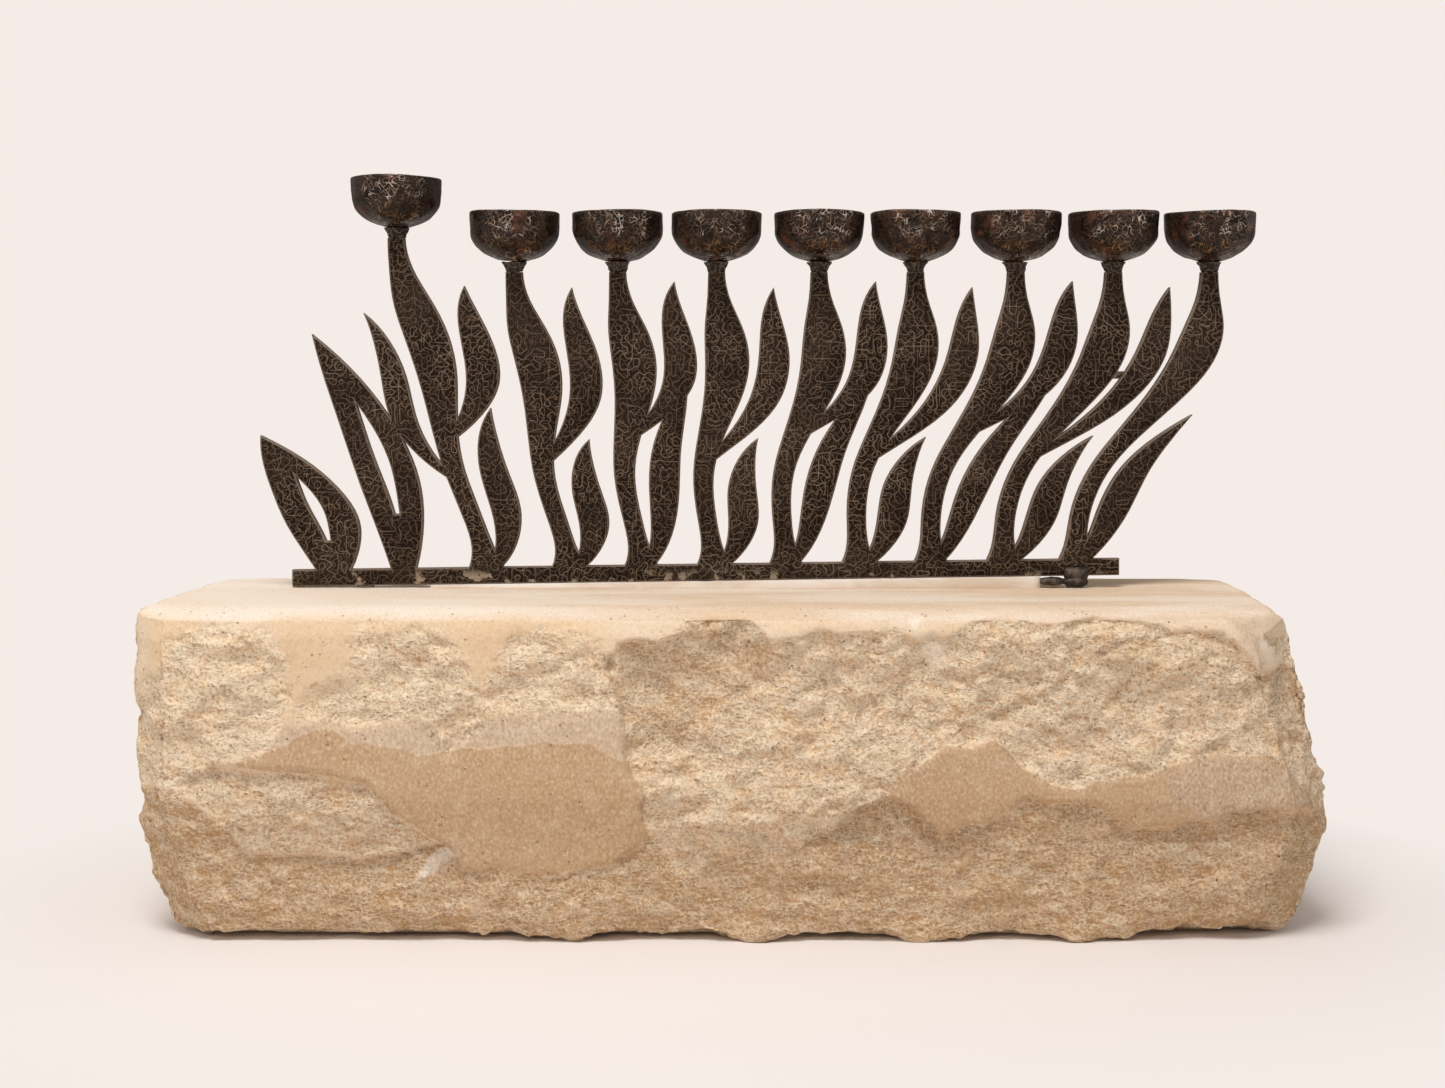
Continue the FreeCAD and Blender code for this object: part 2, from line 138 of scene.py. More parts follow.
GREY_LEDGE = ((-139, 70), (-120, 69), (-97, 71), (-91, 66), (-72, 73), (-41, 73), (-34, 72),
    (-31, 59), (-33, 59), (-43, 64), (-58, 64), (-66, 63), (-81, 62), (-97, 61), (-114, 65),
    (-130, 67), (-145, 62))
WEDGE_PATCH = ((48, 47), (53, 57), (57, 55), (63, 59), (67, 62), (73, 61), (76, 64), (81, 64),
    (85, 61), (92, 55), (99, 51), (110, 51), (112, 53), (128, 54), (141, 57), (152, 61), (162, 61),
    (172, 57), (179, 47), (183, 44), (185, 42), (165, 42), (158, 41), (148, 39), (137, 37),
    (125, 36), (120, 40), (113, 45), (92, 45), (88, 43), (82, 39), (70, 35), (65, 33), (57, 42))
WEDGE_GREY = ((133, 53), (152, 61), (172, 56), (181, 45), (165, 43), (148, 40), (136, 45))
SCOOP = ((-38, 90), (-32, 94), (-23, 95), (-20, 99), (-13, 102), (-1, 102), (6, 100), (12, 95),
    (19, 89), (16, 77), (2, 73), (-16, 73), (-34, 73), (-36, 80))
PALE_SPALL = ((57, 98), (64, 97), (67, 91), (67, 86), (64, 82), (60, 86), (58, 91))
RIGHT_SPALL = ((152, 103), (164, 102), (163, 96), (164, 86), (161, 87), (157, 94))
WHITE_CHIP = ((54, 101), (56, 104), (59, 106), (60, 103), (57, 99))
PALE_CHIP = ((-98, 20), (-96, 25), (-89, 29), (-86, 28), (-88, 25), (-94, 21))
CORNER_ROUGH = ((164, 97), (180, 94), (182, 86), (170, 90))
TOP_CHIP = ((106, 101), (121, 102), (119, 99), (111, 97), (107, 98))
OCHRE_BAND = ((-142, 104), (-100, 103), (-66, 104), (-62, 96), (-72, 88), (-86, 82), (-100, 70),
    (-142, 70))
print("corners of the great split face", len(GREAT_FACE))

# %% Ridges, lips and grooves between the patches
RIDGES = (((22, 43), (31, 48), (45, 54), (50, 59), (54, 60)), ((29, 39), (39, 44), (48, 47)),
    ((-10, 37), (9, 41), (22, 43)))
WEDGE_LIP = ((48, 47), (57, 42), (65, 33), (70, 35), (82, 39), (88, 43), (92, 45), (105, 45),
    (113, 45), (120, 40), (125, 36), (137, 37), (148, 39), (158, 41), (165, 42))
SHELL_LIP = ((-151, 28), (-137, 28), (-126, 27), (-112, 27), (-98, 29), (-89, 31))
TAN_LOW_EDGE = ((-89, 31), (-85, 23), (-64, 22), (-55, 21), (-51, 20), (-45, 24), (-37, 25),
    (-32, 29))
GREAT_LOW_EDGE = ((-23, 30), (-10, 33), (9, 34), (29, 37), (48, 45))
SHELL_CROWN = ((-171, 50), (-158, 55), (-140, 55), (-125, 53), (-115, 50), (-108, 45), (-99, 38),
    (-89, 31))
GROOVES = (((80, 69), (88, 74), (97, 78), (102, 80), (107, 90)), ((-98, 99), (-90, 93), (-83, 86)),
    ((162, 83), (164, 86), (169, 86), (173, 87)))
print("ridges", len(RIDGES), "grooves", len(GROOVES))


# %% Distances to lines and outlines
def line_distance(x, z, line):
    """How far each point lies from a line of straight runs."""
    nearest = np.full(x.shape, np.inf)
    for (x0, z0), (x1, z1) in zip(line, line[1:]):
        run_x, run_z = x1 - x0, z1 - z0
        along = np.clip(((x - x0) * run_x + (z - z0) * run_z) / (run_x ** 2 + run_z ** 2), 0, 1)
        nearest = np.minimum(nearest, np.hypot(x - x0 - along * run_x, z - z0 - along * run_z))
    return nearest


def inside_depth(x, z, outline):
    """How deep each point lies inside an outline. Outside it the number is below zero."""
    inside = np.zeros(x.shape, bool)
    for (x0, z0), (x1, z1) in zip(outline, outline[1:] + outline[:1]):
        if z0 != z1:
            crosses = (z0 > z) != (z1 > z)
            inside ^= crosses & (x < x0 + (z - z0) * (x1 - x0) / (z1 - z0))
    depth = line_distance(x, z, outline + outline[:1])
    return np.where(inside, depth, -depth)


def soft_step(values, low, high):
    """0 below low, 1 above high, and smooth from one to the other."""
    share = np.clip((values - low) / (high - low), 0, 1)
    return share * share * (3 - 2 * share)


sample_x, sample_z = np.array((60.0, -60.0)), np.array((80.0, 80.0))
print("two points lie in the great face by", inside_depth(sample_x, sample_z, GREAT_FACE).round(1))

# %% [markdown]
# ## Small tools for shaping
# Blender's operators act on whatever is selected, and an imported model arrives selected. So each
# tool here first clears the selection, and then picks vertices, edges or faces by their place. A
# modifier is added, set and applied in one go, as you would in its panel. The vertices of a mesh
# can also be read and written in millimetres, which is how the stone is hewn below.

# %% Select one piece, and parts of it
def only(piece):
    """Selects one piece and nothing else."""
    for other in bpy.context.view_layer.objects:
        other.select_set(False)
    piece.select_set(True)
    bpy.context.view_layer.objects.active = piece


def pick(piece, kind, wanted):
    """Goes to edit mode with just the wanted vertices, edges or polygons selected."""
    only(piece)
    bpy.ops.object.mode_set(mode="EDIT")
    bpy.ops.mesh.select_mode(type={"vertices": "VERT", "edges": "EDGE", "polygons": "FACE"}[kind])
    bpy.ops.mesh.select_all(action="DESELECT")
    bpy.ops.object.mode_set(mode="OBJECT")
    for element in getattr(piece.data, kind):
        element.select = bool(wanted(element))
    bpy.ops.object.mode_set(mode="EDIT")


def leave():
    """Back to object mode."""
    bpy.ops.object.mode_set(mode="OBJECT")


# %% Apply a modifier, and move vertices
def shape_with(piece, kind, **settings):
    """Adds a modifier with its settings and applies it."""
    only(piece)
    modifier = piece.modifiers.new(kind.title(), kind)
    for name, value in settings.items():
        setattr(modifier, name, value)
    bpy.ops.object.modifier_apply(modifier=modifier.name)


def points_of(piece):
    """Every vertex's place, as an array in millimetres."""
    flat = np.empty(len(piece.data.vertices) * 3)
    piece.data.vertices.foreach_get("co", flat)
    return flat.reshape(-1, 3) / MM


def move_to(piece, points):
    """Puts the vertices at these places in millimetres."""
    piece.data.vertices.foreach_set("co", (points * MM).ravel())
    piece.data.update()


print("highest point of the CAD block", points_of(frame["nodes"]["stone_block"]).max(0).round(1)[2])

# %% [markdown]
# ## The limestone block: its mesh
# A real rock face is a height that changes from point to point, so the mesh needs many small, even
# faces. It could be sculpted by hand, which no script can repeat, or remeshed from the CAD block,
# which rounds its top. We start from a cube, cut its edges many times along each direction, and
# shrink-wrap it onto the CAD block, which gives it the right large shape. A few rounds of Smooth
# take off the hard corners of the CAD facets.

# %% A finely cut cube, wrapped onto the block
CUTS = ((0, 16), (0, 17), (2, 8), (2, 9), (1, 5), (1, 6))  # axis, and cuts in each of its edges


def cut_along(piece, axis, cuts):
    """Cuts every edge that runs along an axis into cuts + 1 parts."""
    vertices = piece.data.vertices
    def runs_along(edge):
        way = vertices[edge.vertices[1]].co - vertices[edge.vertices[0]].co
        return abs(way[axis]) > 0.9 * way.length
    pick(piece, "edges", runs_along)
    bpy.ops.mesh.subdivide(number_cuts=cuts)
    leave()


def block_blank():
    low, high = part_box("stone_block")
    bpy.ops.object.select_all(action="DESELECT")
    bpy.ops.mesh.primitive_cube_add(size=1, location=(low + high) / 2, scale=high - low)
    blank = bpy.context.object
    blank.name = "rock_faced_block"
    bpy.ops.object.transform_apply(location=True, rotation=True, scale=True)
    for axis, cuts in CUTS:
        cut_along(blank, axis, cuts)
    return blank


block = block_blank()
shape_with(block, "SHRINKWRAP", target=frame["nodes"]["stone_block"])
shape_with(block, "SMOOTH", factor=0.5, iterations=14)
print("block vertices", len(block.data.vertices))

# %% [markdown]
# ## The limestone block: hewing the face
# Now the patches go in. Seen from the side, the front leans out to a proud line at half height and
# falls back below it, and each patch lies at its own depth behind that. Random lumps push the
# outlines about first, because no split edge is straight. The back and the ends are not seen in
# this view, so they get plain lumps of two sizes. The work could be done with Displace modifiers
# alone, but a texture doesn't know where a patch ends.

# %% Random lumps push the outlines about
LATTICE = 97  # random heights a side, after which the pattern repeats
OFFSET = 200.5  # keeps the counts of lumps above zero


def lumps(x, z, size, seed):
    """Smooth random heights from -1 to 1, whose lumps are size millimetres apart."""
    lattice = np.random.default_rng(seed).uniform(-1, 1, (LATTICE, LATTICE))
    u, v = x / size + OFFSET, z / size + OFFSET
    column, row = np.floor(u).astype(int), np.floor(v).astype(int)
    across, up = soft_step(u - column, 0, 1), soft_step(v - row, 0, 1)
    corners = [lattice[(column + i) % LATTICE, (row + j) % LATTICE]
               for i, j in ((0, 0), (1, 0), (0, 1), (1, 1))]
    low = corners[0] + across * (corners[1] - corners[0])
    high = corners[2] + across * (corners[3] - corners[2])
    return low + up * (high - low)


points = points_of(block)
x, y, z = points.T  # these follow points, also when it changes
warped_x = x + 1.7 * lumps(x, z, 11, 1) + 1.0 * lumps(x, z, 4, 2)
warped_z = z + 1.5 * lumps(x, z, 11, 3) + 0.9 * lumps(x, z, 4, 4)
print("outlines wander by up to", round(float(abs(warped_x - x).max()), 1), "mm")


# %% Which way each vertex faces, and what it is near
def within(outline, blur=1.2):
    """1 inside a patch and 0 outside, with a border twice blur wide in millimetres."""
    return soft_step(inside_depth(warped_x, warped_z, outline), -blur, blur)


def near(line, reach):
    """1 on a line, and less and less away from it."""
    return np.exp(-line_distance(warped_x, warped_z, line) / reach)


def hump(middle_x, middle_z, half_width, half_height):
    """1 at a place, and less and less away from it."""
    return np.exp(-((x - middle_x) / half_width) ** 2 - ((z - middle_z) / half_height) ** 2)


normals = np.empty(len(block.data.vertices) * 3)
block.data.vertices.foreach_get("normal", normals)
normals = normals.reshape(-1, 3)
front = soft_step(-normals[:, 1], 0.25, 0.65)
back = soft_step(normals[:, 1], 0.4, 0.8)
end = soft_step(abs(normals[:, 0]), 0.4, 0.8)
level = soft_step(normals[:, 2], 0.55, 0.85)
print("vertices at the front", int((front > 0.5).sum()), "on the sawn top", int((level > 0.5).sum()))

# %% The patches' own depths
PROFILE_HEIGHTS = (0, 4, 10, 20, 30, 40, 46, 52, 65, 80, 90, 97, 101, 103.5, BLOCK_TOP)
PROFILE_DEPTHS = (8, 6.4, 5.8, 5.0, 3.9, 2.0, 0.9, 0.8, 1.3, 1.9, 2.6, 3.6, 5.6, 8.3, 11.5)

lower = within(LOWER_BAND, 1.0)
great = within(GREAT_FACE, 1.0)
shell = within(LEFT_SHELL, 2.0)
scoop = soft_step(inside_depth(warped_x, warped_z, SCOOP), -1, 9)
low_scoop = great * hump(-19, 72, 17, 9)
profile = np.interp(z, PROFILE_HEIGHTS, PROFILE_DEPTHS)
hollow = np.exp(-((z - 74) / 17) ** 2) * (0.5 + 0.5 * np.exp(-((x + 5) / 45) ** 2))
depth = profile + great * (1.0 + 3.0 * hollow)
depth += 3.6 * scoop + 0.4 * shell
depth += lower * (3.0 * near(WEDGE_LIP, 9) + 2.8 * near(SHELL_LIP, 9))
depth += lower * (1.6 * near(TAN_LOW_EDGE, 6) + 1.6 * near(GREAT_LOW_EDGE, 7))
depth += shell * 1.8 * near(SHELL_CROWN, 6)
depth += 1.1 * within(UPPER_LEFT_ROUGH, 4) + 1.1 * within(MIDDLE_ROUGH, 3)
depth += 0.9 * within(HATCHED_ROUGH, 2) + 1.0 * within(TOP_CHIP) + 0.5 * within(PALE_SPALL)
print("great face lies back by", round(float(depth[great > 0.9].mean()), 1), "mm on average")

# %% Ridges, swells and ragged lumps
# Swells of the split face: middle x and z, half width and half height, and how far back
SWELLS = ((115, 88, 20, 8, -1.8), (82, 82, 17, 11, 1.6), (35, 63, 32, 9, -1.3), (-5, 50, 24, 8, -1.2),
          (75, 72, 16, 7, -0.8), (150, 72, 18, 12, 1.0), (-165, 80, 13, 12, -1.4),
          (-175, 62, 12, 8, 1.2), (-150, 36, 16, 9, -1.3), (-60, 86, 9, 5, -0.8),
          (-105, 84, 12, 9, 1.0), (-160, 14, 15, 9, -1.0), (-48, 12, 22, 7, -1.3),
          (20, 14, 30, 7, 1.2), (95, 28, 26, 8, 1.0), (150, 20, 22, 10, -1.0))

for lines, sunk, reach in ((RIDGES, -2.6, 2.6), (GROOVES, 1.5, 1.6)):
    for line in lines:
        depth += sunk * np.exp(-(line_distance(warped_x, warped_z, line) / reach) ** 2)
for *place, sunk in SWELLS:
    depth += sunk * hump(*place)
depth += great * 1.3 * lumps(x, z, 23, 5) + 0.8 * lower * lumps(x, z, 19, 6)
ragged = np.maximum.reduce([great, within(UPPER_LEFT_ROUGH, 4), 0.8 * within(MIDDLE_ROUGH, 6),
                            0.7 * shell, 0.7 * lower])
depth += ragged * (0.8 * lumps(0.45 * x + 0.25 * z, z, 6.5, 8)
                   + 0.9 * lumps(0.6 * x - 0.2 * z, z, 4, 9))
print("deepest carving in mm", round(float((depth - profile).max()), 1))

# %% Push the vertices there
FRONT_PLANE = -58  # the block's foremost y in millimetres

middle = front * (1 - soft_step(abs(x), 156, 176)) * soft_step(z, 3, 9)
target = FRONT_PLANE + np.clip(depth, 0.5, None)
points[:, 1] += middle * (target - y) + (front - middle) * np.clip(depth - profile, 0, None)
points[:, 0] += np.where(x < 0, -2.4, 1.4) * soft_step(abs(x), 150, 178) * (1 - level)
points[:, 0] += np.sign(x) * end * (1.3 * lumps(y, z, 21, 10) + 1.2 * lumps(y, z, 8, 11) - 0.6)
points[:, 1] += back * (1.9 * lumps(x, z, 26, 12) + 1.5 * lumps(x, z, 9, 13) - 3.2)
move_to(block, points)
print("front of the block in mm", round(float(points[:, 1].min()), 1))

# %% [markdown]
# ## The limestone block: the grain of the hewing
# Between the large forms a split face is broken into lumps, lips and crumbs of every size. Three
# Displace modifiers with coarse, middle and fine textures do this well, because no one looks for a
# plan in it. How rough a spot is goes into a vertex group, which the modifiers follow, so the sawn
# top and the old skin stay smooth. The block stands on four feet, where its lower edge wasn't
# chipped away.

# %% How rough each place is
coarse = np.maximum.reduce([within(GREAT_FACE, 3), 0.75 * within(UPPER_LEFT_ROUGH, 5),
                            within(MIDDLE_ROUGH, 8), within(HATCHED_ROUGH, 3),
                            0.75 * within(LEFT_SHELL, 3), within(CORNER_ROUGH, 2)])
coarse = coarse * (1 - 0.7 * within(PALE_SPALL, 5)) * (1 - 0.6 * within(RIGHT_SPALL, 4))
rough = (front * np.maximum(coarse, 0.6 * lower) + (1 - front) * 0.9) * (1 - level)
rough = rough * soft_step(BLOCK_TOP - 0.5 - z, 0, 4)


def group(piece, name, shares):
    """Keeps a share for each vertex, which a modifier can follow."""
    kept = piece.vertex_groups.new(name=name)
    for i in np.flatnonzero(shares > 0.01):
        kept.add([int(i)], float(shares[i]), "REPLACE")


group(block, "hewn", rough)
print("rough vertices", int((rough > 0.01).sum()))


# %% Coarse, middle and fine hewing
def dent(piece, kind, size, strength, where="", **settings):
    """Pushes a piece in and out by a texture whose grain is size millimetres."""
    texture = bpy.data.textures.new(f"grain_{size}", kind)
    texture.noise_scale = size * MM
    for name, value in settings.items():
        setattr(texture, name, value)
    shape_with(piece, "DISPLACE", texture=texture, texture_coords="LOCAL", direction="NORMAL",
               vertex_group=where, strength=strength * MM, mid_level=0.5)


dent(block, "CLOUDS", 15, 3.0, "hewn", noise_depth=2)
dent(block, "VORONOI", 8, 2.2, "hewn", distance_metric="DISTANCE")
dent(block, "CLOUDS", 4, 2.4, "hewn", noise_depth=3, noise_type="HARD_NOISE")
print("hewing moved the face by up to", round(float(abs(points_of(block) - points).max()), 1), "mm")

# %% Keep the block inside its CAD box, standing flat on four feet
FEET = ((-56, 12), (5, 10), (63, 11), (115, 11))  # middle and half width in millimetres
CLEARANCE = 0.02


def box_of(node):
    """A CAD node's lowest and highest corners in millimetres."""
    return [np.array(corner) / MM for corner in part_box(node)]


def smooth(piece, crease=None):
    """Shades a piece smooth, apart from edges sharper than crease degrees where that is given."""
    only(piece)
    if crease is None:
        bpy.ops.object.shade_smooth()
    else:
        bpy.ops.object.shade_smooth_by_angle(angle=math.radians(crease))


points = points_of(block)
low, high = box_of("stone_block")
points = np.clip(points, low + CLEARANCE, high - CLEARANCE)
points[:, 2] = np.where(z < 0.3, 0.0, points[:, 2])
feet = np.maximum.reduce([np.exp(-((x - foot) / half_width) ** 8) for foot, half_width in FEET])
raised = (1 - feet) * (1.3 + 0.6 * lumps(x, z, 9, 7)) * soft_step(-points[:, 1], 36, 50)
points[:, 2] += raised * (1 - soft_step(z, 2, 12))
move_to(block, points)
smooth(block)
print("block spans", points.min(0).round(1), points.max(0).round(1))

# %% Numbers that the material reads
def store(piece, name, values):
    """Keeps a number at each vertex of a mesh."""
    attribute = piece.data.attributes.new(name, "FLOAT", "POINT")
    attribute.data.foreach_set("value", np.asarray(values, np.float32))


STORED = {
    "rough": np.clip(rough, 0, 1),
    "tan": front * np.maximum(within(TAN_PATCH, 2), 0.85 * within(WEDGE_PATCH)),
    "grey": front * np.maximum.reduce([within(GREY_LEDGE, 2), within(WEDGE_GREY, 5),
                                       0.7 * within(RIGHT_SPALL, 3)]),
    # Painted shade: darkens the lower band, the shell and the scoop, which lie in shade
    "lower": front * np.maximum.reduce([lower, 0.55 * shell, 0.45 * scoop, 0.95 * low_scoop]),
    "great": front * great,
    "aside": (1 - front) * (1 - level),
    "sawn": level,
    "warm": level * soft_step(x, -150, -20),
    "ochre": front * within(OCHRE_BAND, 9),
    "pale": front * np.maximum.reduce([0.7 * within(PALE_SPALL, 5), within(WHITE_CHIP),
                                       within(PALE_CHIP)])}
for name, values in STORED.items():
    store(block, name, values)
    print(name, "covers", round(float(np.mean(values)), 3), "of the vertices")

# %% [markdown]
# ## Small tools for materials
# A material is a graph of nodes. Written out node by node it is hard to read, so a few small classes
# help. `Amount` wraps one socket, and lets us write `1 - mask` or `grain * 0.4`, which adds the Math
# nodes. `Graph` has the one method that adds any other node. `Finish` is a graph for a material,
# with the patterns that stone and iron need.

# %% Shader maths as plain expressions
class Amount:
    """One number that changes over a surface, with Python's operators."""

    def __init__(self, graph, socket):
        self.graph = graph
        self.socket = socket

    def maths(self, operation, first, second=0.0):
        return self.graph.add("ShaderNodeMath", {0: first, 1: second}, operation=operation).amount()

    def __add__(self, other): return self.maths("ADD", self, other)
    def __radd__(self, other): return self.maths("ADD", other, self)
    def __sub__(self, other): return self.maths("SUBTRACT", self, other)
    def __rsub__(self, other): return self.maths("SUBTRACT", other, self)
    def __mul__(self, other): return self.maths("MULTIPLY", self, other)
    def __rmul__(self, other): return self.maths("MULTIPLY", other, self)
    def __truediv__(self, other): return self.maths("DIVIDE", self, other)
    def __rtruediv__(self, other): return self.maths("DIVIDE", other, self)
    def __pow__(self, other): return self.maths("POWER", self, other)
    def __rpow__(self, other): return self.maths("POWER", other, self)
    def __abs__(self): return self.maths("ABSOLUTE", self)

    def between(self, low, high):
        """0 at low, 1 at high and a soft step from one to the other. Low may be the larger."""
        return self.graph.add("ShaderNodeMapRange", {0: self, 1: low, 2: high},
                              interpolation_type="SMOOTHSTEP").amount()


def linear(red, green, blue):
    """A colour as the eye and a picture count it, from 0 to 255, in a shader's light units."""
    shares = (red / 255, green / 255, blue / 255)
    return tuple(s / 12.92 if s <= 0.04045 else ((s + 0.055) / 1.055) ** 2.4 for s in shares) + (1.0,)


print("a middle grey of 128 in light units", round(linear(128, 128, 128)[0], 3))


# %% A graph, and the one method that adds a node
class Node:
    """A node that was added, and its outputs."""

    def __init__(self, graph, node):
        self.graph = graph
        self.node = node

    def amount(self, output=0):
        return Amount(self.graph, self.node.outputs[output])

    def out(self, output=0):
        return self.node.outputs[output]


class Graph:
    """The nodes of a material or of the world."""

    def __init__(self, owner):
        owner.use_nodes = True
        self.tree = owner.node_tree
        self.tree.nodes.clear()

    def add(self, kind, inputs, **settings):
        """Adds a node of any type. Settings come first, then its sockets' values and links."""
        node = self.tree.nodes.new(kind)
        for name, value in settings.items():
            setattr(node, name, value)
        for name, value in inputs.items():
            self.feed(node.inputs[name], value)
        return Node(self, node)

    def feed(self, socket, value):
        """Links a socket, or sets its number."""
        if isinstance(value, Amount):
            value = value.socket
        if isinstance(value, bpy.types.NodeSocket):
            self.tree.links.new(value, socket)
        else:
            socket.default_value = value


print("a graph can", ", ".join(name for name in vars(Graph) if not name.startswith("_")))


# %% A material's patterns, colours and bumps
class Finish(Graph):
    """A material, with a surface that the patterns feed."""

    SOCKETS = {"colour": "Base Color", "roughness": "Roughness", "coat": "Coat Weight",
               "normal": "Normal"}

    def __init__(self, name, roughness=0.5, metallic=0.0, specular=0.5, coat_roughness=0.03):
        self.material = bpy.data.materials.new(name)
        super().__init__(self.material)
        self.surface = self.add("ShaderNodeBsdfPrincipled", {
            "Roughness": roughness, "Metallic": metallic, "Specular IOR Level": specular,
            "Coat Roughness": coat_roughness}).node
        self.end = self.add("ShaderNodeOutputMaterial", {"Surface": self.surface.outputs[0]}).node
        self.place = self.add("ShaderNodeTexCoord", {}).out("Object")

    def moved(self, shift, stretch=(1, 1, 1)):
        """The place on the piece, stretched and then shifted, so that no two patterns match."""
        location = shift if isinstance(shift, tuple) else (shift,) * 3
        return self.add("ShaderNodeMapping", {
            "Vector": self.place, "Scale": stretch, "Location": location}).out()

    def noise(self, size, detail=3.0, roughness=0.55, stretch=(1, 1, 1), shift=0.0, distortion=0.0):
        """Cloudy noise whose blots are about size millimetres across."""
        return self.add("ShaderNodeTexNoise", {
            "Vector": self.moved(shift, stretch), "Scale": 1 / (size * MM), "Detail": detail,
            "Roughness": roughness, "Distortion": distortion}).amount("Fac")

    def cells(self, size, shift=0.0):
        """Distance to the middle of the nearest of many scattered cells."""
        return self.add("ShaderNodeTexVoronoi", {
            "Vector": self.moved(shift), "Scale": 1 / (size * MM)}).amount("Distance")

    def curls(self, size, width, shift=0.0, stretch=(1, 1, 1)):
        """Thin curling lines that never fork: the contour where a noise is just 0.5.

        Its distance in width is how far the noise is from 0.5, divided by how steep it is there."""
        step = 0.15 * size
        here, aside, above = (
            self.noise(size, 0.0, 0.5, stretch, (shift + right * MM, shift, shift + up * MM))
            for right, up in ((0, 0), (step, 0), (0, step)))
        slope = ((aside - here) ** 2 + (above - here) ** 2) ** 0.5 / step
        return 1 - (abs(here - 0.5) / (slope + 0.02 / size)).between(0.4 * width, width)

    def stored(self, name):
        """A number that the mesh keeps at each vertex."""
        return self.add("ShaderNodeAttribute", {}, attribute_name=name).amount("Fac")

    def coats(self, base, *layers):
        """Lays (share, colour) layers over a base. A colour is red, green and blue up to 255."""
        colour = linear(*base)
        for share, tint in layers:
            over = linear(*tint) if isinstance(tint, tuple) else tint
            colour = self.add("ShaderNodeMix", {0: share, 6: colour, 7: over},
                              data_type="RGBA").out(2)
        return colour

    def carve(self, height, depth, before=None):
        """A bump whose full height is depth millimetres."""
        inputs = {"Height": height, "Distance": depth * MM, "Strength": 1.0}
        if before is not None:
            inputs["Normal"] = before
        return self.add("ShaderNodeBump", inputs).out()

    def surface_with(self, **values):
        """Feeds the surface by the plain words of SOCKETS."""
        for name, value in values.items():
            self.feed(self.surface.inputs[self.SOCKETS[name]], value)


print("patterns can feed", ", ".join(Finish.SOCKETS))

# %% [markdown]
# ## The limestone block: its material
# Limestone is cream, with ochre where iron has stained it and grey where it weathered. A split face
# is full of small curled flakes. Each flake and each larger swell has a painted highlight on its
# upper side and painted shade on its underside. The lower band, the shell and the scoop are painted
# darker as shade, and an old skin is finer, with dark pinholes. A picture of stone could be
# projected on the block, but it would smear at the ends. Here the stored numbers choose between the
# patches, and noise breaks up their borders. A height less the same height a little higher up tells
# which way a flake leans, and so where its painted highlight and its painted shade go.

# %% Limestone: where each kind of stone shows
stone = Finish("limestone", roughness=0.9, specular=0.05)
jitter = stone.noise(3, 4) + stone.noise(8, 3, shift=4.4) - 1
is_rough = (stone.stored("rough") + jitter * 0.7).between(0.12, 0.7)
is_tan = (stone.stored("tan") + jitter * 0.2).between(0.3, 0.7)
is_grey = (stone.stored("grey") + jitter * 0.3).between(0.15, 0.85)
cloud = stone.noise(38, 3)
mottle = stone.noise(6, 4, 0.6, shift=6.1)
streak = stone.noise(14, 4, stretch=(0.16, 0.7, 1.3), shift=3.1)
ochre = (stone.stored("ochre") + mottle * 0.5).between(0.3, 1.1)
print("limestone nodes so far", len(stone.tree.nodes))


# %% Limestone: flakes, swells and pinholes
def leaning(size, detail, roughness, stretch, shift, aside, up):
    """A height, and how much it falls towards a place aside and up from there, in millimetres."""
    beside = (shift + aside * MM, shift, shift + up * MM)
    height = stone.noise(size, detail, roughness, stretch, shift)
    return height, height - stone.noise(size, detail, roughness, stretch, beside)


flake = stone.noise(3.6, 4, 0.6, (0.8, 1, 1.2), distortion=0.6)
# How each flake and swell leans, which places its painted highlight and painted shade
crest, crest_light_and_shade = leaning(2.2, 4, 0.65, (0.85, 1, 1.1), 8.0, 0.15, 0.45)
swell, swell_light_and_shade = leaning(8, 3, 0.5, (0.8, 1, 1.0), 2.5, 0.5, 1.5)
curled = stone.noise(7, 2, shift=11.0).between(0.3, 0.55)
shaving = (stone.curls(2.3, 0.36, 8.0, (0.6, 1, 1.3)) * 0.9
           + stone.curls(1.5, 0.28, 2.0, (0.7, 1, 1.2)) * 0.7) * curled
fibre = stone.noise(0.9, 3, 0.6, (1, 1, 0.75), 1.3)
fine = is_tan * 0.35 + is_grey * 0.3 + is_rough * 0.5 + 0.35
pitted = stone.noise(7, 2, shift=9.0).between(0.5, 0.6)
pits = stone.cells(2.6, shift=1.7).between(0.17, 0.10) * pitted
print("limestone nodes so far", len(stone.tree.nodes))

